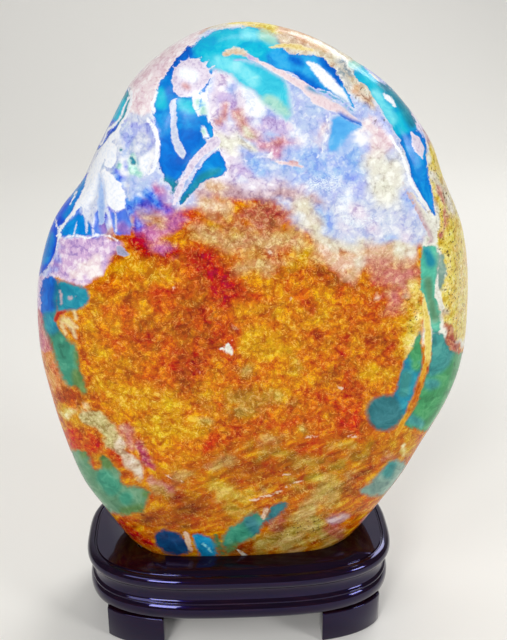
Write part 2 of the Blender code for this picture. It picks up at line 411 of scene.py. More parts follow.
# Without a seed of its own, noise_vector would differ from run to run
noise.seed_set(11)


def swayed(size, height):
    """A smooth random shift for every spot, with swirls of size mm and up to height mm."""
    return height * np.array([noise.noise_vector(Vector(s / size)) for s in spots])


def eased(value, low, high):
    """From 0 at low to 1 at high, in a smooth S."""
    t = np.clip((value - low) / (high - low), 0, 1)
    return t * t * (3 - 2 * t)


# Pigments: the body colour, what it lightens to, and what it darkens to
PIGMENTS = {
    "azure": ("#0488dc", "#26b2ee", "#0568cc"),
    "deep_azure": ("#066cd2", "#0a88e6", "#0648b0"),
    "royal": ("#0554e8", "#1478f4", "#0430b0"),
    "cyan": ("#16c0dc", "#4cd8ea", "#0c98d6"),
    "turquoise": ("#46d0e6", "#7ae2ee", "#1cb4d8"),
    "azure_cyan": ("#28a8e8", "#54c4f0", "#147cd4"),
    "toe_azure": ("#1490c4", "#38b8e8", "#0c6c98"),
    "cloud_blue": ("#5cb4f0", "#94d0f8", "#48a0e8"),
    "deep_sky": ("#5c8cec", "#90b4f4", "#3c60d8"),
    "pale_cyan": ("#78e4f0", "#b4f4f8", "#48cce8"),
    "sky": ("#a8c4f0", "#cfdff6", "#88a8ea"),
    "lavender": ("#bcc8ee", "#dfe6f5", "#9fb0e4"),
    "periwinkle": ("#aeb8ec", "#d2d8f2", "#8a90da"),
    "lilac": ("#ccbce2", "#e8deee", "#a890c8"),
    "lilac_white": ("#d2d8ea", "#eceff6", "#aebae0"),
    "lilac_rose": ("#d4b4d8", "#f2e2f0", "#a888c4"),
    "frost_and_highlight": ("#fafcff", "#ffffff", "#e2eaf8"),
    "pale_pink": ("#e6dcea", "#f8f4fa", "#bca8cc"),
    "pale_cream": ("#e8e6d8", "#fafaf0", "#c4bcac"),
    "pale_pink_cream": ("#dcc4a8", "#f0e4d4", "#b08c70"),
    "pale_cream_green": ("#ccbc84", "#e8dcb0", "#a08850"),
    "grey_cream": ("#ccc8c0", "#ecebe4", "#8c9ca4"),
    "blue_violet": ("#5c60dc", "#9094ee", "#3c3cb4"),
    "violet": ("#9a78c8", "#c4a8e0", "#6c50b0"),
    "mauve": ("#c4a2aa", "#e2cace", "#a07a86"),
    "pink_cream": ("#eedce0", "#fbf4f4", "#dcbcc6"),
    "pink": ("#d498b4", "#ecc4d4", "#b06890"),
    "orchid": ("#c470a0", "#e0a0c4", "#984c8c"),
    "dusty_rose": ("#cc8478", "#e4b49c", "#b06058"),
    "rose": ("#cc7c86", "#e2aca6", "#b05a6c"),
    "magenta": ("#b8486c", "#d48498", "#8c2848"),
    "crimson": ("#b82814", "#d8501c", "#8c1210"),
    "vermilion": ("#cc4406", "#e8781c", "#a42c02"),
    "rust_rose": ("#b86048", "#d49478", "#8c4030"),
    "rust": ("#b44c04", "#d87414", "#882e02"),
    "dark_rust": ("#a24a0e", "#c87026", "#7c2e08"),
    "deep_orange": ("#c45604", "#e48814", "#9c3802"),
    "orange": ("#d0700a", "#eca81e", "#a84402"),
    "amber": ("#d4800c", "#eeb030", "#ae5406"),
    "golden": ("#d4920f", "#eec648", "#b46408"),
    "ochre": ("#bc8a34", "#dab460", "#946420"),
    "milky_ochre": ("#ca9a68", "#e6c898", "#a66c40"),
    "cream": ("#e2dac4", "#f2efe2", "#c8b49a"),
    "peach_orange": ("#dc8848", "#eeae78", "#b86030"),
    "peach": ("#e0bc9c", "#f4e2cc", "#cc9e78"),
    "straw": ("#d0a640", "#eacf6c", "#a07c26"),
    "tan": ("#c08c4c", "#dcb474", "#94642e"),
    "rim_yellow": ("#ecd670", "#f8ecac", "#cca63c"),
    "pale_yellow": ("#ecd890", "#f8f0c8", "#d0aa50"),
    "olive": ("#b8a04c", "#d8c880", "#8c7028"),
    "pale_olive": ("#c4a056", "#e2c884", "#987430"),
    "mint": ("#9cd8c8", "#d0f0e4", "#6cb8b0"),
    "teal": ("#1c8ca4", "#48b4c0", "#14688c"),
    "deep_teal": ("#2a7078", "#4c949c", "#1c5058"),
    "teal_green": ("#3c9490", "#68b8ac", "#286c70"),
    "moss_green": ("#5c8448", "#88a868", "#3c6434"),
    "grey_green": ("#86a898", "#b4ccbc", "#5c7c78"),
    "light_sea_green": ("#5cc4a6", "#88dcc0", "#3ca68c"),
    "sea_green": ("#3c9478", "#68b898", "#286c58"),
    "jade_green": ("#449c62", "#70bc80", "#2c7448"),
    "pale_green": ("#609470", "#8cb494", "#447858"),
    "dark_blue": ("#0e4070", "#1c5c90", "#0a2850"),
    "rust_pink": ("#d89c9c", "#eecccc", "#c07c7c"),
    "grey_lilac": ("#a0a0c0", "#c4c4dc", "#787898"),
}

# Soft washes that colour the body of the stone, each over those before: pigment, feather in mm,
# lines and areas. Marks beyond the stone's outline show only on its side
WASHES = {
    "upper_body": ("lavender", 6.0, [
        [(95, 200, 36), (125, 145, 42), (175, 95, 46), (240, 85, 55), (310, 110, 58), (365, 160, 52),
         (398, 210, 36)],
        [(150, 185, 34), (205, 150, 44), (270, 150, 48), (335, 190, 48), (380, 222, 30)],
        [(92, 185, 30), (120, 120, 40), (165, 60, 40), (225, 30, 40), (300, 40, 44), (365, 75, 40),
         (410, 130, 36), (435, 190, 26)],
    ]),
    "top_rim_body": ("cream", 3.0, [[
        (205, 28, 8), (240, 20, 9), (280, 28, 14), (320, 46, 15), (350, 70, 16), (372, 92, 10),
    ]]),
    "left_face_body": ("deep_sky", 2.0, [[
        (0, 160), (60, 160), (96, 150), (130, 160), (104, 236), (60, 264), (0, 264),
    ]]),
    "outer_rim_body": ("pale_cream", 2.0, [[
        (352, 40), (372, 60), (396, 84), (414, 112), (424, 136), (428, 250), (424, 345), (520, 345),
        (520, 40),
    ]]),
    "pale_lower_sky": ("lilac_white", 5.0, [
        [(295, 212, 12), (340, 220, 24), (380, 222, 28), (412, 234, 16)], [(330, 130, 8)],
        [(405, 150, 8), (412, 190, 9)],
    ]),
    "column_to_oval": ("lilac_white", 3.0, [[(150, 100, 12), (143, 110, 14), (138, 120, 14)]]),
    "oval_body": ("lilac_white", 2.5, [[(138, 132, 14), (140, 150, 17), (142, 162, 14)]]),
    "oval_top": ("periwinkle", 2.0, [
        [(120, 146, 4), (123, 135, 5), (132, 126, 6), (143, 126, 7), (152, 136, 5)], [(150, 146, 5)],
    ]),
    "oval_pale": ("frost_and_highlight", 2.5, [
        [(119, 158, 5), (124, 169, 5)], [(150, 160, 5), (146, 169, 6)], [(136, 148, 4)],
    ]),
    "oval_teal": ("mint", 2.0, [[(130, 158, 4), (134, 168, 5), (140, 172, 4)], [(118, 163, 4)]]),
    # The white shoulder is partly frost in the stone and partly a painted highlight along the ridge
    "white_shoulder": ("frost_and_highlight", 2.5, [[(112, 137, 4), (107, 149, 7), (105, 162, 8)], [(100, 160, 8)]]),
    "outer_shoulder": ("sky", 2.0, [[(106, 142, 4), (96, 158, 4), (86, 174, 4)]]),
    # The fan below the oval is partly a pale frost in the stone and partly a painted highlight over its
    # flutes
    "fan": ("lilac_white", 2.5, [[(104, 150, 14), (100, 175, 14), (96, 205, 16)], [(112, 205, 12)]]),
    "under_oval": ("lavender", 4.0, [[(132, 186, 10), (150, 192, 14), (145, 208, 14)]]),
    "under_oval_pink": ("orchid", 4.0, [[(150, 212, 6), (165, 204, 7), (172, 216, 7)], [(160, 190, 4)]]),
    "violet_mix": ("violet", 4.0, [
        [(134, 218, 6), (142, 230, 7)], [(148, 204, 5), (162, 198, 4)], [(158, 228, 6)],
    ]),
    "blue_mix": ("blue_violet", 3.5, [
        [(110, 216, 5), (122, 226, 6)], [(138, 206, 6), (148, 216, 6)], [(138, 228, 5)], [(166, 208, 4)],
    ]),
    "blue_under_oval": ("deep_sky", 2.5, [
        [(147, 192, 6), (152, 200, 6), (158, 204, 4)], [(124, 204, 5), (128, 216, 6), (126, 228, 5)],
        [(136, 200, 4)],
    ]),
    "lilac_patch": ("lilac_rose", 1.6, [[
        (20, 262), (48, 258), (56, 248), (60, 237), (70, 235), (84, 235), (98, 234), (108, 234), (116, 238),
        (122, 243), (130, 252), (126, 257), (118, 259), (110, 264), (102, 270), (94, 276), (88, 280),
        (76, 282), (66, 282), (56, 279), (44, 283), (20, 280),
    ]]),
    "lilac_patch_pale": ("pink_cream", 2.5, [[(80, 262, 8), (96, 258, 8), (90, 270, 8)], [(70, 272, 6)]]),
    "lilac_patch_blue": ("periwinkle", 2.5, [[(46, 270, 8), (44, 282, 5)], [(58, 246, 4), (54, 256, 4)]]),
    "lavender_cloud": ("sky", 5.0, [
        [(298, 152, 8), (322, 160, 16), (348, 160, 18), (358, 172, 12)], [(300, 180, 8)],
    ]),
    "white_cloud": ("frost_and_highlight", 4.0, [
        [(292, 132, 5), (302, 142, 5)], [(355, 138, 6), (362, 142, 5)], [(352, 192, 5), (345, 206, 5)],
    ]),
    "pinkish_cloud": ("pink_cream", 4.0, [
        [(368, 128, 8), (382, 140, 12), (378, 152, 10)], [(322, 128, 5), (322, 140, 5)],
    ]),
    "cream_cloud": ("pale_cream", 7.0, [[(380, 165, 13), (392, 172, 15), (386, 192, 12)], [(402, 150, 5)]]),
    "lower_blue_tinge": ("sky", 5.0, [
        [(318, 208, 5), (328, 226, 6)], [(390, 246, 7), (398, 250, 5)], [(408, 200, 5)], [(348, 244, 5)],
    ]),
    "lower_pink_tinge": ("pale_pink", 5.0, [
        [(355, 205, 6), (362, 212, 5)], [(300, 200, 7)], [(342, 226, 5)], [(405, 236, 6)], [(372, 232, 5)],
    ]),
    "crust": ("pale_pink", 3.5, [
        [(215, 78, 7), (218, 96, 9), (216, 112, 9), (222, 126, 10), (232, 140, 12), (234, 160, 10),
         (228, 184, 9)],
        [(240, 95, 8), (250, 125, 10)], [(232, 78, 6), (222, 84, 7)],
    ]),
    "crust_lilac": ("lilac", 2.5, [
        [(240, 84, 4), (250, 88, 5)], [(266, 122, 7), (284, 126, 6)], [(222, 98, 4), (222, 110, 4)],
        [(236, 172, 5), (250, 178, 6)],
    ]),
    "crust_white": ("frost_and_highlight", 2.0, [
        [(244, 96, 5), (252, 104, 8), (262, 112, 6), (252, 114, 4)], [(226, 86, 4)], [(202, 90, 4)],
    ]),
    "crust_mint": ("mint", 2.5, [[(264, 97, 6), (276, 102, 7), (284, 112, 4)]]),
    "crust_violet": ("lilac", 1.6, [[(228, 98, 4), (234, 110, 3.5), (237, 116, 2)], [(228, 128, 3)]]),
    "crust_rust": ("rust_pink", 2.5, [
        [(240, 114, 4), (248, 124, 5), (256, 134, 6)], [(224, 118, 3), (226, 108, 2)],
    ]),
    "crust_gold": ("cream", 2.0, [[(250, 128, 3), (256, 134, 4)], [(244, 118, 2)]]),
    "crust_cream": ("pale_cream", 3.0, [
        [(212, 137, 4), (228, 141, 8), (246, 144, 7), (252, 148, 5)], [(236, 154, 5)],
    ]),
    "pink_cloud": ("pink", 3.5, [[(262, 142, 6), (274, 144, 7), (292, 143, 5)], [(276, 154, 4)]]),
    "rose_cloud": ("rust_pink", 2.5, [[(268, 144, 4), (278, 142, 4)]]),
    "blue_hollow": ("sky", 3.5, [
        [(252, 160, 6), (256, 170, 7)], [(296, 172, 5), (302, 178, 6)], [(280, 168, 4)],
    ]),
    "mauve_shore": ("mauve", 4.0, [
        [(198, 192, 5), (214, 188, 6), (232, 192, 7), (262, 190, 8), (296, 196, 7)],
        [(310, 198, 4), (318, 204, 3)],
    ]),
    "mauve_shore_pale": ("pale_pink", 4.0, [
        [(245, 186, 6), (270, 182, 7)], [(212, 178, 5)], [(300, 190, 5)],
    ]),
    "gold_shore": ("peach", 3.0, [[(204, 184, 4), (214, 190, 5)], [(202, 200, 5), (212, 202, 5)]]),
    "cream_shore": ("peach", 5.0, [[(206, 208, 6), (222, 206, 7)], [(215, 218, 5)]]),
    "cream_run_down": ("cream", 5.0, [[(300, 206, 8), (308, 222, 8), (318, 240, 6)]]),
    "field": ("orange", 4.0, [
        [(130, 264, 18), (160, 282, 36), (215, 272, 40), (285, 272, 40), (335, 315, 42), (372, 338, 36)],
        [(180, 240, 12), (225, 240, 16), (275, 240, 18)],
    ]),
    "field_edge_left": ("orange", 2.0, [
        [(110, 284, 14), (96, 310, 14), (92, 340, 14), (100, 380, 20)], [(132, 252, 7)], [(86, 300, 6)],
    ]),
    "peach_shore": ("peach", 4.0, [
        [(322, 250, 7), (338, 262, 9), (362, 254, 9), (392, 256, 9), (418, 262, 6)],
        [(345, 276, 7), (352, 268, 7)],
    ]),
    "shore_cream": ("cream", 3.0, [
        [(325, 240, 5), (340, 246, 5), (360, 245, 6)], [(400, 250, 6), (416, 256, 6)], [(356, 262, 4)],
    ]),
    "magenta_shore": ("orchid", 3.5, [
        [(148, 234, 6), (160, 232, 7), (176, 222, 7), (184, 214, 7)], [(160, 246, 8), (175, 248, 7)],
        [(148, 244, 5)],
    ]),
    "red_shore": ("crimson", 3.5, [
        [(128, 240, 4), (142, 242, 6), (156, 254, 5)], [(172, 254, 5), (182, 248, 4)],
    ]),
    "bright_shore": ("vermilion", 3.5, [
        [(188, 212, 6), (200, 218, 6)], [(185, 224, 4)], [(190, 250, 6), (206, 258, 6)],
    ]),
    "rust_knot": ("rust_rose", 4.0, [
        [(236, 218, 6), (256, 212, 9), (272, 210, 8), (284, 216, 6)], [(258, 226, 9), (274, 222, 8)],
        [(232, 230, 6), (246, 232, 5)],
    ]),
    "rust_knot_core": ("rust_rose", 5.0, [[(254, 220, 5), (262, 216, 5)], [(278, 218, 5), (270, 206, 3)]]),
    "golden_knot": ("golden", 3.5, [[(212, 224, 6), (216, 234, 6)], [(238, 236, 4)]]),
    "pale_knot": ("peach", 2.5, [[(268, 252, 3), (274, 250, 2)]]),
    "crimson_core": ("crimson", 8.0, [
        [(198, 250, 8), (206, 264, 13), (216, 280, 16), (228, 292, 12)], [(232, 272, 8)], [(228, 308, 8)],
        [(238, 286, 6), (246, 298, 6)],
    ]),
    "vermilion_core": ("vermilion", 7.0, [
        [(204, 312, 10), (216, 330, 10), (206, 350, 8)], [(250, 304, 8), (262, 306, 5)],
    ]),
    "deep_centre": ("deep_orange", 8.0, [
        [(150, 300, 20), (190, 326, 26), (176, 360, 18)], [(236, 330, 14), (226, 360, 12)],
    ]),
    "rust_centre": ("rust", 7.0, [
        [(190, 285, 12), (196, 310, 20), (200, 332, 20), (190, 355, 14)],
        [(166, 304, 8), (172, 320, 9), (178, 330, 7)], [(132, 340, 8), (146, 330, 9), (156, 326, 5)],
        [(188, 368, 12), (184, 382, 7), (194, 378, 5)], [(120, 300, 6), (136, 296, 6)],
    ]),
    "red_centre": ("vermilion", 3.5, [
        [(163, 384, 7), (180, 376, 5)], [(170, 372, 4)], [(158, 292, 7), (170, 296, 4)],
        [(244, 300, 5), (254, 302, 4)], [(182, 408, 4), (176, 402, 3)], [(208, 312, 5)], [(222, 296, 5)],
        [(185, 392, 4)],
    ]),
    "golden_left": ("golden", 5.0, [
        [(122, 268, 6), (145, 266, 8), (166, 270, 8)], [(150, 284, 7), (166, 280, 6)],
        [(98, 302, 6), (104, 318, 6)], [(118, 328, 6)], [(96, 350, 6), (112, 366, 9), (128, 370, 8)],
        [(104, 384, 10), (122, 398, 13), (156, 398, 12), (176, 400, 10)],
        [(150, 430, 14), (176, 424, 14), (200, 424, 12)], [(172, 308, 3), (174, 318, 3)], [(154, 346, 5)],
    ]),
    "golden_right": ("golden", 5.0, [
        [(290, 236, 6), (300, 246, 8), (304, 260, 8), (290, 268, 7)], [(248, 256, 6), (262, 264, 6)],
        [(250, 345, 9), (268, 342, 12), (290, 346, 12)], [(318, 312, 9), (328, 318, 8)],
        [(366, 376, 8), (384, 378, 9)], [(406, 300, 7), (406, 330, 8), (398, 350, 6)],
        [(260, 310, 7), (276, 316, 6)], [(300, 330, 6)],
    ]),
    "milky_shore": ("milky_ochre", 7.0, [
        [(196, 226, 6), (232, 246, 9), (262, 244, 10), (296, 240, 9)], [(316, 262, 6)], [(226, 214, 5)],
    ]),
    "milky_left": ("milky_ochre", 6.0, [[(142, 216, 4), (160, 222, 5)], [(240, 268, 6), (282, 262, 6)]]),
    "deep_left": ("deep_orange", 9.0, [
        [(110, 310, 9), (148, 314, 14), (182, 310, 14)], [(112, 344, 9), (146, 346, 12), (182, 348, 10)],
        [(112, 374, 6), (178, 374, 7)],
    ]),
    "deep_low_right": ("deep_orange", 8.0, [
        [(322, 402, 10), (356, 400, 12), (382, 388, 6)], [(322, 430, 10), (356, 432, 9)],
        [(262, 464, 7), (300, 464, 8), (330, 460, 7)],
    ]),
    "crimson_again": ("crimson", 9.0, [[(202, 256, 9), (213, 274, 17), (225, 292, 14)]]),
    "rust_streak": ("rust", 7.0, [
        [(182, 312, 10), (190, 340, 13), (192, 362, 12), (188, 384, 8)], [(138, 334, 6), (150, 328, 9)],
    ]),
    "bright_amber": ("amber", 5.0, [
        [(240, 320, 8), (262, 328, 9)], [(330, 345, 9)], [(305, 312, 7)], [(88, 325, 6), (90, 340, 5)],
        [(140, 310, 7)],
    ]),
    "rust_right": ("rust", 5.0, [
        [(312, 270, 7), (328, 278, 9), (344, 290, 7)], [(303, 300, 6), (312, 306, 5)],
        [(376, 338, 8), (390, 343, 6)], [(322, 334, 6), (330, 340, 5)], [(322, 380, 7), (334, 370, 5)],
        [(268, 318, 4)],
    ]),
    "deep_right": ("deep_orange", 7.0, [
        [(355, 300, 14), (388, 306, 10)], [(342, 358, 14), (350, 384, 12)], [(388, 360, 7)],
    ]),
    "rose_shore": ("dusty_rose", 7.0, [
        [(370, 266, 7), (388, 273, 11), (404, 276, 11), (414, 268, 7)], [(392, 290, 8), (396, 302, 7)],
    ]),
    "pale_shore": ("peach", 2.0, [[(404, 291, 2), (409, 296, 1.5)], [(374, 296, 1.5)], [(352, 285, 1.5)]]),
    "brown_belt": ("ochre", 5.0, [
        [(232, 395, 8), (252, 398, 9), (275, 400, 9)], [(232, 410, 7), (260, 412, 9), (280, 415, 8)],
        [(298, 372, 6)], [(208, 398, 6)], [(246, 368, 6)],
    ]),
    "pale_belt": ("pale_olive", 3.0, [
        [(293, 406, 6), (299, 416, 7), (304, 428, 5)], [(246, 366, 4)], [(236, 410, 4)],
        [(206, 418, 4), (212, 426, 3)],
    ]),
    "low_orange": ("deep_orange", 6.0, [
        [(212, 436, 10), (240, 432, 10), (330, 405, 14), (345, 425, 16), (320, 440, 14)],
        [(300, 456, 8), (330, 452, 8)],
    ]),
    "low_vermilion": ("vermilion", 4.0, [
        [(345, 415, 8), (356, 428, 6)], [(260, 468, 5), (272, 466, 5)], [(208, 440, 6)],
        [(300, 490, 5), (285, 492, 4)],
    ]),
    "low_rust": ("dark_rust", 5.0, [
        [(165, 488, 7), (180, 504, 14), (202, 500, 13), (178, 520, 12), (150, 518, 7)],
        [(250, 472, 8), (275, 470, 6)], [(238, 482, 6)], [(295, 470, 5), (305, 472, 4)],
    ]),
    "low_dark": ("dark_rust", 4.0, [
        [(336, 464, 3), (346, 466, 3)], [(300, 472, 3)], [(340, 486, 5), (352, 492, 5)], [(372, 448, 4)],
        [(255, 472, 3)],
    ]),
    "low_streaks": ("ochre", 4.0, [
        [(262, 456, 5), (300, 462, 5), (345, 468, 5)], [(345, 458, 5), (368, 452, 6)], [(244, 448, 5)],
        [(326, 448, 4), (352, 446, 5)],
    ]),
    "low_peach": ("tan", 5.0, [
        [(216, 466, 5), (230, 458, 7)], [(258, 446, 4), (280, 443, 4)], [(178, 475, 5), (195, 470, 5)],
        [(352, 476, 5), (362, 474, 4)], [(264, 488, 5)],
    ]),
    "low_olive": ("straw", 5.0, [
        [(210, 482, 4), (224, 492, 7), (240, 498, 6)], [(226, 508, 6), (244, 512, 5)], [(216, 496, 4)],
        [(250, 492, 4)],
    ]),
    "foot_yellow": ("straw", 6.0, [
        [(315, 484, 7), (330, 484, 10), (328, 496, 8)], [(296, 486, 6), (302, 492, 5)],
    ]),
    "foot_olive": ("olive", 7.0, [[
        (262, 548, 7), (282, 540, 10), (298, 530, 14), (312, 520, 10), (320, 536, 8), (340, 542, 4),
    ]]),
    "foot_pale": ("pale_olive", 6.0, [[(286, 552, 6), (300, 532, 8), (312, 508, 8), (330, 492, 8)]]),
    "foot_brown": ("rust_rose", 3.0, [
        [(268, 520, 5), (276, 530, 5), (284, 516, 4)], [(328, 530, 6), (338, 538, 5), (330, 520, 4)],
    ]),
    "foot_dark": ("dark_rust", 2.5, [[(232, 553, 4), (248, 548, 5)], [(286, 512, 3), (290, 508, 3)]]),
    "foot_mauve": ("mauve", 3.0, [[(328, 519, 4), (338, 516, 4), (346, 518, 3)]]),
    "foot_orange": ("orange", 3.0, [[(342, 506, 6), (358, 500, 6)], [(352, 518, 5), (346, 526, 3)]]),
    "left_rim_lilac": ("lilac_rose", 1.0, [[(0, 276), (50, 276), (48, 300), (48, 318), (0, 318)]]),
    "left_rim_rose": ("rose", 1.4, [[(0, 314), (48, 314), (52, 350), (0, 350)]]),
    "left_rim_orange": ("peach_orange", 1.8, [[
        (0, 350), (54, 350), (64, 378), (72, 392), (66, 402), (20, 402),
    ]]),
    "left_rust": ("rust", 3.0, [[(64, 396, 5), (80, 400, 6), (96, 398, 5)]]),
    "left_yellow": ("golden", 3.0, [[(64, 410, 5), (76, 420, 7), (90, 426, 7)]]),
    "left_cream": ("pale_yellow", 2.5, [[(66, 414, 4), (74, 412, 3)], [(88, 410, 3)]]),
    "left_streak": ("pale_cream_green", 2.4, [[(84, 417, 5), (98, 423, 8), (110, 434, 9), (118, 447, 8)]]),
    "left_streak_low": ("pale_pink_cream", 2.4, [[
        (119, 448, 6), (127, 459, 7), (134, 469, 6), (139, 478, 3),
    ]]),
    "left_vermilion": ("vermilion", 1.6, [
        [(60, 430), (74, 430), (86, 434), (98, 438), (106, 445), (106, 452), (94, 450), (84, 449),
         (72, 450), (60, 450)],
        [(91, 452, 3), (95, 466, 3)], [(112, 452, 3), (118, 460, 3)],
    ]),
    "magenta_drop": ("magenta", 2.8, [[(139, 444, 2), (144, 456, 4), (152, 463, 4)]]),
    "mauve_grain": ("dusty_rose", 3.0, [[(124, 432, 4), (132, 446, 4)], [(150, 480, 4), (166, 486, 4)]]),
    "dark_red_toe": ("crimson", 2.5, [[(116, 520, 4), (128, 530, 6), (142, 539, 6), (152, 545, 4)]]),
    "mauve_toe": ("tan", 3.0, [[(154, 490, 4), (166, 492, 4)]]),
    "top_rim": ("rim_yellow", 1.6, [[
        (210, 25, 5), (228, 21, 5), (252, 20, 6), (268, 26, 7), (280, 32, 6),
    ]]),
    "top_rim_pink": ("rust_pink", 2.0, [[(190, 40, 4), (200, 33, 5), (208, 29, 4)]]),
    "top_rim_orange": ("peach", 2.5, [[(284, 28, 7), (304, 36, 8), (322, 48, 7)]]),
    "top_rim_ochre": ("pale_pink_cream", 1.6, [
        [(276, 35, 3), (286, 38, 4), (296, 42, 2)], [(306, 46, 3), (314, 50, 3)], [(332, 66, 3)],
    ]),
    "grey_rim": ("grey_cream", 2.0, [
        [(340, 62, 5), (350, 70, 6), (356, 64, 4)], [(336, 72, 4), (346, 86, 4)],
    ]),
    "ochre_spot": ("pale_pink_cream", 2.5, [[(360, 92, 4), (370, 100, 4), (375, 106, 2)]]),
    "spot_rose": ("peach", 1.8, [[(352, 88, 3), (358, 88, 3)]]),
    "lavender_rim": ("periwinkle", 1.6, [[(360, 62, 3), (374, 72, 4), (384, 82, 3)]]),
    "pale_rim": ("pale_pink", 1.6, [[(392, 88, 3), (404, 100, 4), (414, 114, 4), (422, 128, 4)]]),
    "dark_cream_rim": ("mauve", 1.4, [[(424, 130, 3), (430, 142, 3), (434, 152, 2)]]),
    "upper_left_rim": ("pink_cream", 1.6, [[
        (204, 24), (186, 34), (160, 46), (140, 62), (128, 78), (126, 96), (128, 108), (140, 114),
        (151, 112), (154, 97), (158, 86), (164, 76), (172, 66), (181, 58), (190, 50), (200, 40), (208, 32),
    ]]),
    "right_rim_cream": ("rim_yellow", 1.6, [[
        (430, 140), (431, 160), (432, 178), (437, 196), (440, 215), (440, 240), (444, 256), (446, 275),
        (441, 292), (442, 315), (447, 330), (452, 340), (462, 342), (500, 330), (500, 180), (455, 130),
        (436, 128),
    ]]),
    "right_rim_pale": ("cream", 2.5, [
        [(438, 178, 6), (446, 192, 5), (452, 210, 5)], [(458, 215, 4)], [(446, 310, 5)],
    ]),
    "right_rim_rose": ("dusty_rose", 2.4, [[(443, 190, 1.5), (446, 204, 2), (447, 222, 2), (445, 236, 2)]]),
    "right_rim_rust": ("rust_rose", 2.0, [[(450, 330, 5), (450, 342, 6), (457, 350, 4)]]),
    "right_inner_cream": ("rim_yellow", 3.0, [[
        (414, 282, 5), (416, 300, 6), (418, 318, 6), (414, 334, 6), (408, 352, 3),
    ]]),
    "low_right_yellow": ("golden", 2.5, [
        [(404, 434, 6), (411, 443, 8), (405, 453, 5)], [(392, 440, 4), (388, 452, 4)],
    ]),
    "low_right_pale": ("pale_yellow", 2.0, [[(402, 444, 3), (408, 448, 3)]]),
    "low_right_rust": ("rust", 3.0, [
        [(372, 456, 4), (368, 468, 5), (360, 478, 5)], [(380, 432, 6), (365, 430, 6)],
    ]),
    "low_right_rose": ("rust_rose", 3.0, [[(398, 456, 4), (388, 456, 3)]]),
    "side_pink": ("rust_pink", 4.0, [[(474, 210, 8), (486, 240, 10), (478, 262, 7)]]),
    "side_rust": ("rust", 6.0, [
        [(470, 420, 9), (452, 452, 12), (440, 480, 10)], [(488, 380, 12), (470, 470, 8)],
    ]),
    "side_golden": ("golden", 6.0, [[(460, 480, 10), (440, 510, 8)], [(484, 430, 10)], [(470, 540, 10)]]),
    "side_crimson": ("crimson", 5.0, [[(476, 404, 7), (466, 440, 6)], [(448, 520, 6), (430, 540, 8)]]),
}

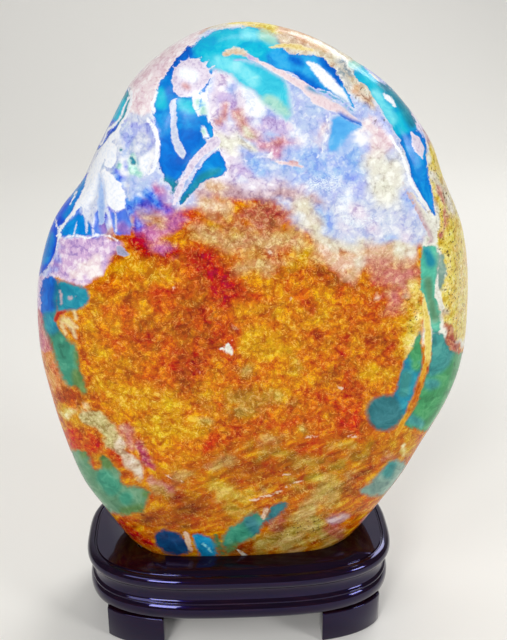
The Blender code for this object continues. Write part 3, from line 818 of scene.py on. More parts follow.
# Clear windows with a firm edge: pigment, blur of the edge in mm, areas and lines
WINDOWS = {
    "left_window": ("azure", 0.35, [[
        (200, 40), (190, 50), (181, 58), (172, 66), (164, 76), (158, 86), (154, 98), (152, 110), (154, 121),
        (158, 132), (159, 145), (158, 160), (161, 172), (166, 181), (175, 182), (181, 176), (186, 167),
        (195, 155), (206, 144), (214, 138), (213, 127), (208, 117), (206, 104), (203, 95), (210, 80),
        (214, 66), (210, 52),
    ]]),
    "left_window_deep": ("deep_azure", 0.35, [
        [(160, 140), (170, 136), (184, 130), (200, 132), (200, 142), (190, 152), (182, 166), (174, 180),
         (164, 178), (160, 162)],
        [(190, 50, 4), (178, 62, 4), (170, 72, 3)],
    ]),
    "left_window_bright": ("cyan", 0.35, [
        [(160, 92, 3), (161, 104, 4)], [(184, 104, 5), (192, 108, 4)], [(204, 44, 5), (206, 56, 5)],
    ]),
    "left_wedge": ("azure", 0.35, [[
        (217, 149), (223, 157), (228, 168), (224, 176), (214, 178), (206, 181), (199, 186), (193, 193),
        (187, 199), (181, 205), (180, 199), (184, 191), (191, 181), (198, 170), (206, 160), (213, 152),
    ]]),
    "wedge_deep": ("teal", 0.5, [[(218, 172, 2), (204, 176, 2.5), (192, 190, 2), (184, 200, 2)]]),
    "left_window_foot": ("teal", 0.6, [
        [(164, 180, 1.5), (174, 184, 2), (172, 194, 1.5)], [(178, 184, 1), (176, 192, 1)],
    ]),
    "top_window": ("cyan", 0.7, [[
        (200, 41), (208, 34), (216, 30), (228, 28), (245, 27), (258, 28), (268, 31), (276, 38), (284, 46),
        (284, 54), (284, 70), (272, 68), (262, 64), (250, 60), (238, 60), (226, 62), (212, 64), (205, 62),
        (198, 56), (195, 48),
    ]]),
    "top_window_right": ("azure_cyan", 0.35, [[
        (278, 48), (290, 53), (304, 54), (320, 56), (327, 63), (335, 73), (343, 85), (352, 100), (355, 107),
        (345, 101), (333, 93), (322, 89), (311, 86), (302, 79), (292, 72), (280, 68), (270, 66), (268, 56),
        (272, 50),
    ]]),
    "top_window_deep": ("deep_azure", 0.35, [
        [(296, 73, 1.5), (306, 81, 2.5), (318, 87, 2)], [(322, 60, 2.5), (332, 70, 2), (340, 82, 1.5)],
        [(292, 58, 2), (300, 62, 2)],
    ]),
    "top_window_turquoise": ("turquoise", 2.6, [[
        (206, 60), (220, 56), (236, 60), (250, 62), (262, 65), (274, 73), (285, 80), (288, 90), (290, 101),
        (291, 113), (288, 120), (281, 113), (274, 107), (266, 104), (260, 97), (254, 90), (245, 88),
        (237, 81), (230, 73), (218, 70), (212, 68),
    ]]),
    "top_window_pale": ("pale_cyan", 0.45, [
        [(246, 74, 5), (254, 80, 5)], [(220, 62, 4), (236, 66, 4)], [(246, 33, 4), (256, 36, 3)],
    ]),
    "top_window_mint": ("mint", 3.2, [
        [(268, 100, 4), (278, 106, 4), (286, 112, 3)], [(264, 34, 4), (274, 39, 3)],
    ]),
    "right_ribbon": ("cyan", 0.4, [[
        (353, 66), (360, 63), (370, 73), (380, 81), (390, 90), (400, 98), (409, 109), (415, 120),
        (419, 130), (412, 134), (404, 140), (400, 138), (394, 131), (390, 120), (383, 111), (378, 103),
        (373, 94), (366, 86), (358, 80), (354, 74),
    ]]),
    "right_ribbon_pale": ("pale_cyan", 0.5, [[(376, 94, 3), (386, 108, 4), (392, 120, 4)]]),
    "ribbon_outer": ("teal", 0.6, [[(382, 84, 2), (394, 94, 3), (405, 107, 3.5), (413, 122, 3)]]),
    "right_ribbon_low": ("azure", 0.4, [[
        (404, 136), (412, 132), (420, 130), (426, 140), (428, 152), (427, 165), (429, 178), (432, 190),
        (435, 204), (436, 216), (432, 212), (427, 205), (422, 197), (417, 188), (413, 177), (410, 165),
        (406, 153), (401, 143),
    ]]),
    "ribbon_top_crust": ("mint", 1.2, [[(352, 64, 4), (358, 62, 3)]]),
    "cloud_window": ("cloud_blue", 1.6, [[
        (331, 118), (340, 116), (350, 120), (362, 127), (352, 131), (349, 138), (344, 146), (338, 152),
        (327, 152), (328, 143), (331, 132),
    ]]),
    "cloud_window_low": ("sky", 2.4, [[(353, 136, 2), (347, 146, 3), (341, 152, 3)]]),
    "side_face": ("royal", 0.5, [[
        (78, 172), (60, 192), (44, 216), (30, 240), (26, 270), (38, 276), (44, 270), (51, 261), (56, 250),
        (58, 236), (62, 227), (70, 217), (78, 204), (85, 192), (93, 178), (90, 172),
    ]]),
    "side_face_edge": ("azure", 0.5, [
        [(84, 182, 3), (74, 196, 2)], [(48, 238, 5), (42, 258, 5)], [(62, 230, 3)],
        [(76, 200, 1.5), (66, 216, 1.5)],
    ]),
    "fan_foot": ("azure", 1.0, [[
        (62, 228), (70, 220), (78, 212), (84, 216), (90, 224), (92, 234), (82, 236), (70, 237), (60, 236),
    ]]),
    "fan_foot_blue": ("deep_sky", 0.8, [
        [(93, 212), (100, 208), (104, 222), (108, 232), (100, 235), (94, 230)],
        [(110, 212), (116, 214), (124, 208), (128, 216), (132, 226), (126, 234), (118, 236), (112, 230)],
    ]),
    "fan_foot_violet": ("violet", 0.9, [[(103, 224, 2), (106, 232, 2)], [(120, 226, 3), (128, 232, 3)]]),
    "side_sliver": ("teal", 0.4, [[
        (122, 82), (112, 98), (102, 116), (94, 134), (88, 150), (98, 150), (104, 144), (110, 135),
        (117, 127), (123, 118), (128, 108), (131, 98), (131, 88),
    ]]),
    "side_sliver_bright": ("cyan", 0.4, [[(122, 102, 2), (116, 113, 3), (112, 120, 2)]]),
    "side_sliver_blue": ("royal", 0.4, [[(112, 124, 3), (104, 136, 3), (98, 146, 2)], [(126, 86, 2)]]),
    "left_blue": ("deep_azure", 0.6, [[
        (42, 280), (50, 276), (58, 280), (60, 290), (58, 300), (57, 312), (54, 320), (46, 322), (41, 314),
        (40, 296),
    ]]),
    "left_teal": ("teal", 1.5, [[
        (57, 281), (68, 283), (78, 285), (87, 290), (88, 300), (84, 307), (76, 310), (66, 311), (56, 313),
        (55, 300),
    ]]),
    "left_green": ("sea_green", 1.9, [[
        (42, 318), (54, 314), (56, 324), (60, 332), (66, 338), (74, 344), (78, 351), (78, 362), (80, 372),
        (84, 380), (78, 387), (70, 386), (63, 380), (59, 372), (56, 360), (53, 350), (48, 340), (44, 328),
    ]]),
    "left_green_top": ("teal", 1.0, [[(48, 318, 4), (52, 328, 5)]]),
    "left_moss": ("moss_green", 1.5, [
        [(76, 374, 3), (80, 384, 5), (84, 390, 3)], [(76, 352, 1.5), (78, 364, 1.5)],
    ]),
    "low_left_green": ("pale_green", 1.8, [[
        (60, 452), (80, 450), (88, 456), (90, 464), (95, 471), (102, 468), (101, 460), (108, 458),
        (114, 466), (120, 475), (121, 483), (128, 487), (140, 487), (150, 492), (147, 500), (144, 510),
        (136, 513), (124, 515), (112, 512), (100, 520), (80, 500), (66, 478),
    ]]),
    "low_left_moss": ("moss_green", 1.4, [
        [(102, 458, 3), (108, 464, 4)], [(84, 454, 3)], [(124, 512, 3), (140, 509, 3)], [(146, 494, 2)],
    ]),
    "low_left_mint": ("sea_green", 1.4, [[(104, 478, 6), (112, 488, 7)], [(126, 498, 5)]]),
    "low_right_green": ("grey_green", 1.9, [[
        (397, 460), (392, 462), (384, 468), (376, 476), (368, 484), (360, 490), (364, 495), (374, 497),
        (382, 496), (394, 488), (408, 470), (404, 462),
    ]]),
    "low_right_mint": ("teal_green", 1.5, [[(392, 464, 3), (388, 474, 4)]]),
    "toe_blue": ("dark_blue", 1.3, [[
        (156, 533), (164, 530), (174, 532), (181, 536), (187, 543), (190, 552), (178, 556), (164, 552),
        (157, 546), (154, 540),
    ]]),
    "toe_azure": ("toe_azure", 1.1, [[
        (192, 535), (200, 534), (208, 537), (214, 540), (217, 548), (216, 558), (204, 558), (198, 552),
        (195, 544),
    ]]),
    "toe_azure_rim": ("moss_green", 0.9, [[(215, 536, 2), (219, 546, 2.5), (222, 554, 2)]]),
    "toe_teal": ("sea_green", 1.8, [[
        (224, 536), (230, 528), (238, 524), (246, 516), (254, 513), (262, 516), (266, 522), (260, 530),
        (254, 538), (244, 541), (234, 547), (226, 552), (222, 544),
    ]]),
    "toe_teal_deep": ("deep_teal", 1.4, [
        [(268, 514), (272, 506), (280, 502), (288, 503), (285, 510), (278, 516), (270, 522), (264, 524)],
        [(250, 522, 5), (256, 530, 4)],
    ]),
    "toe_moss": ("moss_green", 1.5, [[(228, 552, 3), (236, 546, 2)]]),
    "right_strip": ("light_sea_green", 0.8, [[
        (423, 246), (436, 246), (440, 258), (439, 270), (436, 283), (438, 298), (440, 312), (440, 328),
        (438, 336), (432, 332), (430, 318), (427, 306), (423, 298), (421, 285), (421, 265),
    ]]),
    "right_strip_dark": ("teal", 1.0, [[(427, 251, 2), (431, 262, 3)]]),
    "right_strip_pale": ("pale_green", 1.4, [[(428, 280, 2), (430, 296, 2), (435, 318, 3)]]),
    "right_strip_grey": ("grey_green", 0.9, [[(441, 256, 2.5), (443, 272, 3.5), (441, 288, 2)]]),
    "right_green": ("jade_green", 1.0, [[
        (432, 332), (444, 334), (446, 344), (450, 350), (458, 354), (480, 350), (480, 380), (466, 400),
        (452, 420), (440, 436), (424, 431), (408, 428), (404, 424), (411, 414), (417, 404), (421, 392),
        (425, 380), (429, 368), (431, 356), (432, 344),
    ]]),
    "right_teal": ("teal_green", 1.0, [
        [(432, 332), (444, 334), (447, 346), (453, 353), (449, 364), (440, 372), (432, 376), (428, 372),
         (430, 362), (432, 346)],
        [(430, 384, 4), (436, 384, 3)], [(412, 420, 4), (420, 424, 3)],
    ]),
    "right_inner": ("teal", 1.3, [[
        (419, 332), (422, 345), (423, 360), (421, 372), (417, 384), (413, 396), (409, 406), (403, 418),
        (396, 427), (388, 431), (376, 430), (370, 424), (366, 414), (368, 405), (374, 399), (382, 396),
        (392, 395), (397, 388), (400, 376), (404, 364), (409, 354), (414, 344),
    ]]),
    "right_inner_green": ("jade_green", 0.9, [
        [(419, 336), (422, 348), (422, 360), (414, 362), (409, 354), (414, 345)], [(416, 366, 4)],
    ]),
    "right_inner_low": ("teal_green", 1.0, [[(406, 376, 4), (404, 392, 4)]]),
    "right_teal_dark": ("deep_teal", 2.4, [[
        (366, 414), (368, 405), (374, 399), (382, 396), (392, 396), (398, 404), (402, 416), (396, 427),
        (388, 431), (376, 430), (370, 424),
    ]]),
    "oval_pool": ("teal", 1.0, [[(130, 158, 1.5), (133, 163, 2)], [(121, 150, 1)]]),
    "side_pool": ("teal", 1.5, [[(478, 222), (490, 214), (498, 232), (492, 254), (480, 262), (474, 242)]]),
    "side_green": ("sea_green", 1.5, [[
        (452, 452), (464, 440), (478, 446), (474, 470), (460, 486), (448, 478),
    ]]),
}

# Veins, spindles and knots that lie over the windows, with painted highlights on the fan, the ridge, the
# oval's rim and the white spindle, and a painted shade in the fan's gap: pigment, blur in mm, lines and
# areas
VEINS_AND_PAINTED_LIGHT = {
    "hedgehog_knot": ("pale_pink", 0.5, [[
        (171, 80), (174, 70), (180, 63), (188, 59), (196, 58), (203, 63), (208, 68), (211, 75), (208, 82),
        (203, 88), (196, 94), (188, 97), (180, 97), (174, 91),
    ]]),
    "knot_core": ("frost_and_highlight", 1.2, [[(184, 73, 4), (192, 76, 5)]]),
    "knot_rose": ("rust_pink", 1.0, [[(184, 86, 0.4), (187, 87, 0.3)]]),
    "knot_spikes": ("pale_pink", 0.4, [
        [(198, 61, 1.5), (201, 56, 0.5)], [(204, 65, 1.5), (209, 60, 0.5)],
        [(208, 70, 1.5), (214, 66, 0.5)], [(210, 76, 1.5), (216, 75, 0.5)],
        [(190, 60, 1.5), (189, 55, 0.5)], [(182, 64, 1.5), (179, 59, 0.5)],
        [(176, 69, 1.5), (172, 66, 0.5)],
    ]),
    "worm": ("lilac_white", 0.5, [[
        (174, 100, 2), (172, 106, 4), (173, 114, 2.6), (173, 126, 3.2), (175, 138, 3.4), (179, 148, 4),
        (182, 155, 3.2), (183, 159, 1),
    ]]),
    "crust_finger": ("frost_and_highlight", 0.6, [
        [(196, 96, 4), (196, 106, 3), (199, 115, 2)], [(204, 96, 3), (206, 110, 2), (209, 120, 2)],
        [(202, 126, 2), (206, 136, 3)],
    ]),
    "crust_finger_green": ("mint", 0.8, [
        [(202, 104, 1.5), (203, 114, 1.5)], [(202, 131, 1.5)], [(198, 102, 1)],
    ]),
    "diagonal_vein": ("pale_pink", 0.3, [[
        (216, 141, 5), (209, 147, 4), (200, 155, 3.4), (193, 163, 3.6), (187, 174, 3), (181, 185, 2.8),
        (177, 195, 2.6), (175, 206, 1.5),
    ]]),
    # The oval's rim is partly frost in the stone and partly a painted highlight on the dish's edge
    "oval_rim": ("frost_and_highlight", 0.5, [
        [(148, 119, 1.5), (155, 129, 2), (158, 142, 2), (157, 156, 2), (155, 168, 1.5), (148, 174, 1.5)],
        [(154, 112, 1.5), (152, 104, 1.5), (156, 92, 1)],
    ]),
    "top_worm": ("peach", 0.9, [[(224, 54, 2), (231, 50, 3.4), (240, 51, 3), (248, 55, 2.5)]]),
    "top_worm_glow": ("cream", 0.6, [[(226, 49, 1), (236, 47, 1.5), (246, 51, 1)]]),
    "top_worm_end": ("lilac", 0.5, [[(250, 57, 2.5), (257, 59, 2)]]),
    "long_vein": ("pink_cream", 0.5, [[
        (258, 61, 1.5), (270, 67, 2.2), (282, 73, 3), (292, 79, 3.6), (304, 87, 4.5), (316, 98, 6),
        (328, 104, 6), (342, 111, 5), (354, 119, 3), (360, 123, 1),
    ]]),
    "top_spindle": ("pale_yellow", 0.6, [[(270, 46, 0.8), (284, 45, 2.6), (300, 47, 2.8), (312, 50, 1)]]),
    # The white spindle is partly a frosted vein and partly a painted highlight
    "white_spindle": ("frost_and_highlight", 0.9, [[
        (308, 62, 1.5), (314, 67, 4.2), (322, 74, 5.8), (332, 84, 5.4), (342, 95, 3.4), (350, 104, 1),
    ]]),
    "ribbon_spindle": ("frost_and_highlight", 0.6, [[(384, 93, 1), (389, 98, 2.6), (396, 106, 1)]]),
    "ribbon_almond": ("pale_pink", 0.35, [[
        (412, 132, 0.8), (416, 140, 4), (420, 150, 4.4), (423, 157, 1),
    ]]),
    "ribbon_bank": ("frost_and_highlight", 0.6, [[
        (390, 136, 0.8), (399, 150, 1.4), (404, 160, 1.4), (408, 172, 1.4), (413, 186, 2), (420, 198, 2.4),
        (428, 210, 2),
    ]]),
    "right_cream_run": ("pale_cream", 0.5, [[
        (410, 192, 1), (418, 206, 2.4), (427, 219, 4), (433, 231, 4.4), (434, 240, 3.4), (426, 245, 1.5),
    ]]),
    "dark_thread": ("mauve", 0.3, [[
        (403, 182, 0.6), (412, 202, 1), (420, 216, 1), (428, 232, 1), (430, 241, 0.7),
    ]]),
    "shadow_line": ("toe_azure", 0.5, [[(309, 88, 0.5), (325, 92, 0.8), (340, 100, 0.8), (353, 110, 0.5)]]),
    "cloud_thread": ("deep_azure", 0.4, [[(340, 115, 0.7), (350, 120, 0.9), (362, 126, 0.9)]]),
    "thin_cream": ("pink_cream", 0.5, [[(264, 155, 1), (276, 161, 1.5), (290, 164, 2.5), (304, 167, 1)]]),
    "thin_brown": ("rust_pink", 0.6, [[(290, 161, 1.2), (297, 163, 1.2)]]),
    "cloud_streak": ("frost_and_highlight", 0.8, [
        [(326, 116, 0.8), (328, 134, 1.2), (322, 150, 1.2), (316, 160, 0.8)],
        [(278, 150, 0.6), (262, 158, 0.8), (244, 160, 0.6)],
    ]),
    # The ridge line and its tail are partly a white vein and partly a painted highlight along the ridge
    "ridge_line": ("frost_and_highlight", 0.4, [
        [(127, 86, 1), (131, 92, 2), (130, 104, 2), (125, 116, 2), (117, 129, 2), (109, 142, 2.4),
         (101, 156, 4), (96, 168, 5), (89, 182, 4), (82, 198, 3), (74, 212, 2), (66, 221, 1.6),
         (60, 228, 1.6), (57, 236, 1)],
        [(106, 150), (112, 142), (118, 148), (117, 160), (112, 168), (104, 166)],
    ]),
    "ridge_tail": ("frost_and_highlight", 0.4, [
        [(55, 217, 0.5), (57, 226, 1), (60, 236, 1), (56, 250, 0.6)], [(80, 182, 0.6), (68, 196, 0.6)],
        [(76, 192, 0.5), (70, 204, 0.5)],
    ]),
    # The two fan blobs are partly frost and partly painted highlights on the flutes
    "fan_blob": ("frost_and_highlight", 0.5, [[
        (105, 168), (113, 176), (121, 184), (126, 195), (124, 208), (116, 212), (109, 206), (104, 190),
        (101, 176),
    ]]),
    "fan_blob_left": ("frost_and_highlight", 0.5, [[
        (98, 164), (100, 176), (98, 190), (94, 201), (90, 214), (84, 213), (81, 205), (86, 192), (90, 180),
    ]]),
    # A painted shade: the grey-blue band between the two fan blobs
    "fan_gap_painted_shade": ("sky", 0.6, [[
        (100, 176), (103, 190), (105, 206), (104, 224), (98, 226), (97, 206), (98, 190),
    ]]),
    # The fan's streaks are partly pale veins and partly painted highlights on the flutes
    "fan_streaks": ("lilac_white", 0.5, [
        [(92, 206, 2), (92, 218, 1.4), (93, 234, 1)], [(86, 212, 1.4), (86, 232, 0.8)],
        [(107, 210, 1.4), (110, 228, 1)], [(115, 214, 0.8), (116, 234, 1)],
        [(128, 182, 1), (129, 200, 0.8)], [(76, 222, 0.6), (74, 234, 0.8)],
    ]),
    "patch_edge": ("frost_and_highlight", 0.6, [[
        (66, 237, 0.7), (76, 235, 1), (88, 238, 0.7), (98, 234, 1), (110, 236, 0.8), (118, 241, 0.8),
    ]]),
    "sliver_flecks": ("frost_and_highlight", 0.5, [
        [(120, 92, 0.8), (112, 106, 1.2), (106, 120, 0.6)], [(128, 96, 0.8), (118, 118, 1)],
        [(118, 118, 1), (108, 130, 1.4), (100, 144, 1)],
    ]),
    "starburst": ("pale_yellow", 1.4, [
        [(60, 320, 2), (68, 320, 3), (72, 328, 2)], [(62, 325, 1.4), (66, 334, 1)],
        [(70, 322, 1.4), (77, 328, 1)], [(72, 328, 1.2), (76, 338, 0.8)], [(74, 312, 1), (76, 318, 1)],
        [(64, 316, 1), (62, 326, 1)],
    ]),
    "starburst_edge": ("crimson", 0.8, [[(56, 320, 2), (58, 314, 2.2), (65, 311, 1.5)]]),
    "teal_spot": ("mauve", 0.9, [[(70, 298, 2)], [(60, 292, 0.8), (61, 304, 0.8)], [(76, 296, 0.8)]]),
    "grey_triangle": ("grey_lilac", 0.5, [[(117, 247), (123, 247), (129, 254), (124, 257), (117, 255)]]),
    "toe_bridge": ("peach", 0.8, [[(185, 533, 2), (188, 541, 2.4), (190, 549, 2)]]),
    "azure_glint": ("pale_cyan", 0.5, [[(201, 542, 1), (207, 547, 1), (212, 553, 0.8)], [(196, 538, 1)]]),
    "toe_splinter": ("cream", 0.5, [[(238, 550, 0.8), (245, 555, 1.5)]]),
    "teal_split": ("peach", 0.8, [[(263, 518, 2), (267, 508, 1.6)]]),
    "thin_arc": ("peach", 0.5, [[
        (250, 500, 0.8), (264, 498, 1), (280, 491, 1), (292, 483, 0.8), (306, 479, 0.6),
    ]]),
    "white_heart": ("pale_cream", 0.6, [
        [(228, 343, 2), (231, 350, 2.8), (231, 354, 1.5)], [(219, 348, 0.8), (225, 350, 1.5)],
        [(233, 341, 0.8)],
    ]),
    "small_lights": ("peach", 0.8, [
        [(237, 329, 1.5), (238, 332, 1)], [(231, 324, 0.8), (235, 328, 1)], [(290, 299, 2)],
        [(196, 368, 0.8), (200, 374, 0.8)], [(270, 252, 2)],
    ]),
    "small_dashes": ("peach", 0.6, [
        [(348, 437, 1), (356, 436, 1)], [(305, 438, 1), (318, 436, 0.8)],
        [(283, 474, 0.8), (292, 475, 0.8)], [(336, 387, 0.8), (344, 390, 0.8)], [(348, 371, 1)],
        [(172, 292, 0.6), (176, 286, 0.6)],
    ]),
    "right_vein": ("rim_yellow", 0.5, [[
        (423, 294, 1), (425, 306, 2.4), (427, 320, 3), (428, 336, 3.4), (429, 350, 3.2), (427, 361, 2.4),
        (424, 370, 2),
    ]]),
    "right_vein_low": ("golden", 0.6, [[
        (426, 364, 2), (422, 378, 1.6), (418, 390, 1.6), (413, 402, 1.6), (407, 414, 1.8), (401, 426, 2.4),
        (397, 434, 2),
    ]]),
    "right_vein_rust": ("rust", 0.7, [[(419, 384, 0.8), (414, 402, 1)], [(409, 410, 0.8)]]),
    "right_white_lens": ("pale_cream", 0.5, [[(436, 284, 1), (438, 295, 2.4), (442, 308, 2.4)]]),
    "lower_left_scratch": ("peach", 0.5, [
        [(162, 473, 0.6), (172, 478, 0.6)], [(180, 480, 0.8), (186, 486, 0.6)],
    ]),
    "side_vein": ("pale_cream", 0.5, [[
        (470, 170, 1), (478, 200, 2), (472, 232, 3), (482, 262, 2), (476, 300, 2.4), (488, 330, 1),
    ]]),
    "side_vein_low": ("peach", 0.6, [[
        (462, 400, 1), (470, 424, 2), (458, 450, 2.4), (462, 480, 2), (448, 510, 1),
    ]]),
}

# Where the rim is peppered with dark grit, and where white needles cross the cloud
GRIT = [
    [(438, 165, 6), (447, 205, 10), (452, 250, 13), (456, 300, 12), (452, 340, 8)],
    [(412, 290, 6), (414, 325, 8)], [(290, 530, 10), (320, 525, 10)],
    [(350, 65, 6), (365, 100, 8)], [(380, 120, 6)],
]
NEEDLES = [
    [(308, 188, 6), (325, 182, 10), (338, 180, 8)], [(352, 188, 5), (345, 200, 7), (340, 214, 5)],
    [(350, 218, 6), (370, 220, 8)],
]

# Below the field the stone is bedded, and its colours run in streaks that climb to the right. There the
# body is also painted a tenth darker, as painted shade low on the stone
BEDS_AND_PAINTED_SHADE = [[(60, 440), (160, 470), (240, 438), (330, 436), (420, 440), (440, 600), (60, 600)]]

light = {
    name: np.array([linear(colour)[:3] for colour in shades]).ravel() for name, shades in PIGMENTS.items()
}
turned_away = eased(-(normals @ np.array(toward_camera)), SHIFT_FROM, SHIFT_TO)[:, None]
drift = turned_away * (
    np.array([SEAM_DRIFT, SEAM_DROP])
    + swayed(SWIRL_SIZE, SEAM_SWIRL)[:, :2] + swayed(CRUMPLE_SIZE, SEAM_CRUMPLE)[:, 1:]
)
loose = seen + drift + sum(swayed(*stray) for stray in LOOSE_STRAY)[:, :2] / PIXEL_MM
firm = seen + drift + swayed(*FIRM_STRAY)[:, :2] / PIXEL_MM
ragged = RAGGED_HEIGHT * np.array([
    noise.fractal(Vector(s / RAGGED_SIZE), 0.6, 2.1, 3, noise_basis="PERLIN_ORIGINAL") for s in spots
])

ground = np.tile(light["orange"], (len(spots), 1))
for pigment, feather, lines in WASHES.values():
    inside = mm_inside(loose, lines) + ragged * min(1.0, feather / FULLY_RAGGED)
    fade = feather * (NARROW_FADE if feather < NARROW_FEATHER else WIDE_FADE)
    ground += eased(inside, -fade, fade)[:, None] * (light[pigment] - ground)
warmth = np.clip((ground[:, 0] - ground[:, 2]) / WARM_BODY, LEAST_WARMTH, 1)


def layered(marks):
    """For one layer of marks: mm inside the nearest, and its colours and blur, later over earlier."""
    inside = np.full(len(spots), NOTHING_NEAR)
    look, painted = np.zeros((len(spots), 10)), np.full((len(spots), 1), 1e-9)
    for pigment, blur, lines in marks.values():
        reach = mm_inside(firm, lines)
        cover = eased(reach, *LAYER_BLEND)[:, None]
        look += cover * (np.array([*light[pigment], blur]) - look)
        painted += cover * (1 - painted)
        inside = np.maximum(inside, reach)
    return inside, look / painted


window_inside, window_look = layered(WINDOWS)
# The vein layer also carries the painted highlights and the painted shade drawn among the veins
vein_and_painted_light_inside, vein_and_painted_light_look = layered(VEINS_AND_PAINTED_LIGHT)
grit = eased(mm_inside(loose, GRIT), -PATCH_FADE, PATCH_FADE)
needles = eased(mm_inside(loose, NEEDLES), -PATCH_FADE, PATCH_FADE)
bedding_and_painted_shade = eased(mm_inside(loose, BEDS_AND_PAINTED_SHADE), -BED_FADE, BED_FADE)

# Stone, its relief.
# The polish has worn the clear windows a little below the harder veins, and running water left
# flutes and an oval dish at the upper left. Depth in mm, softness in mm, lines.
WINDOW_SINK = 0.35
VEIN_STAND = 0.15
# The step at their edges, from outside to inside
STEP_EDGE = (-0.6, 0.8)
RELIEF = {
    "oval_dish": (1.1, 3.0, [[(138, 132, 10), (138, 150, 14), (142, 164, 10)]]),
    "flute_1": (0.9, 2.2, [[(98, 178, 2), (92, 200, 3), (88, 218, 3)]]),
    "flute_2": (0.9, 2.2, [[(104, 182, 2), (100, 205, 3), (98, 222, 3)]]),
    "flute_3": (1.0, 2.2, [[(126, 178, 2), (126, 200, 3), (122, 220, 3)]]),
    "flute_4": (0.8, 2.2, [[(112, 205, 2), (112, 222, 3)]]),
    "hollow_under_oval": (0.9, 4.0, [[(140, 190, 6), (150, 205, 6)]]),
    "left_window_bowl": (0.8, 6.0, [[(185, 110, 8), (180, 150, 10)]]),
    "top_window_bowl": (0.6, 6.0, [[(230, 52, 8), (265, 60, 8)]]),
    "ribbon_groove": (0.8, 4.0, [[(375, 95, 4), (398, 125, 5), (415, 165, 5), (430, 205, 3)]]),
    "ridge_notch": (0.8, 2.0, [[(128, 96, 2), (122, 112, 3), (112, 128, 2)]]),
}
sink = WINDOW_SINK * eased(window_inside, *STEP_EDGE) - VEIN_STAND * eased(vein_and_painted_light_inside, *STEP_EDGE)
for depth, softness, lines in RELIEF.values():
    sink += depth * eased(mm_inside(firm, lines), -softness, softness)
sink = np.maximum(sink, 0.0)
for vertex, spot, normal, depth in zip(mesh.verts, spots, normals, sink):
    vertex.co = (spot - normal * depth) * MM

# Stone, its finish.
# Nephrite jade with iron-stained skin, cut with diamond grit and polished with wax. The eye sees
# colour lying just under a glassy surface: clear blue and green windows, frosted veins, and a
# field of orange crumbs and threads, with soft reflections that break up over the flutes. On the
# flutes, the ridge and the oval's rim, painted highlights lie in the colour as well.
CURL_SIZE = 8.0
CURL_SHIFT = 9.0
CELL_SIZE = 4.2
BED_THICKNESS = 5.0
BED_LENGTH = 19.0
BED_DIP = -24.0
BED_SHIFT = 2.0
BED_CONTRAST = 6.6
BED_SHARE = 0.75
MOTTLE_MIDDLE = 1.80
WINDOW_FRAY = 5.2
VEIN_FRAY = 3.4
PALE_GOLD = "#f6e4a0"
NEEDLE_WHITE = "#f2fbff"
GRIT_BROWN = "#4a2c18"

tint = {
    name: add_node(tree, "Attribute", attribute_name=name, attribute_type="GEOMETRY").outputs["Color"]
    for name in (kind + tone for kind in ("body", "window", "vein") for tone in ("", "_light", "_dark"))
}
reach, blur, trim = (
    add_node(tree, "SeparateXYZ", {
        0: add_node(tree, "Attribute", attribute_name=name, attribute_type="GEOMETRY").outputs["Vector"],
    }).outputs
    for name in ("reach", "blur", "trim")
)
grit_here, needles_here, warm = trim["X"], trim["Y"], trim["Z"]

# Most patterns are curled by a slow swirl, and the beds are long, thin and tilted
place = add_node(tree, "TexCoord").outputs["Object"]
curl = add_node(tree, "TexNoise", {
    "Vector": place, "Scale": per_metre(CURL_SIZE), "Detail": 2.0,
}).outputs["Color"]
along_beds = add_node(tree, "Mapping", {
    "Vector": place, "Rotation": (0.0, math.radians(BED_DIP), 0.0),
    "Scale": (BED_LENGTH / BED_THICKNESS, 1.0, 1.0),
}, vector_type="TEXTURE").outputs["Vector"]
curled, along_beds = (
    add_node(tree, "VectorMath", {
        0: curl, 1: (shift * MM,) * 3, 2: straight,
    }, operation="MULTIPLY_ADD").outputs["Vector"]
    for straight, shift in ((place, CURL_SHIFT), (along_beds, BED_SHIFT))
)

# Each pattern: where it lies, its size in mm, detail, roughness and distortion. Real jade grain is
# some 0.1 mm, and is drawn at 1 mm, so that it shows at this distance
PATTERNS = {
    "cloud": (place, 15.0, 5.0, 0.62, 0.6), "crumb": (place, 3.6, 4.0, 0.68, 0.9),
    "grain": (place, 1.0, 2.0, 0.6, 0.0), "grit": (place, 1.7, 2.0, 0.5, 0.4),
    "needle": (place, 4.0, 2.0, 0.5, 2.6), "thread": (curled, 5.0, 3.0, 0.6, 1.2),
    "crack": (curled, 7.0, 3.0, 0.65, 1.8), "hue": (curled, 10.0, 3.0, 0.7, 0.0),
    "drift": (curled, 11.0, 4.0, 0.6, 0.8), "bed": (along_beds, BED_THICKNESS, 3.0, 0.55, 0.0),
}
pattern = {
    name: add_node(tree, "TexNoise", {
        "Vector": where, "Scale": per_metre(size), "Detail": detail, "Roughness": roughness,
        "Distortion": distortion,
    }).outputs["Fac"]
    for name, (where, size, detail, roughness, distortion) in PATTERNS.items()
}
cells = add_node(tree, "TexVoronoi", {
    "Vector": curled, "Scale": per_metre(CELL_SIZE), "Smoothness": 0.25,
}, feature="SMOOTH_F1").outputs
cell = add_node(tree, "SeparateXYZ", {0: cells["Color"]}).outputs["X"]

# Threads, cracks and needles are thin lines, where a noise crosses its middle
for name in ("thread", "crack", "needle"):
    from_middle = add_node(tree, "Math", {0: pattern[name], 1: 0.5}, operation="SUBTRACT").outputs[0]
    pattern[name] = add_node(tree, "Math", {0: from_middle}, operation="ABSOLUTE").outputs[0]

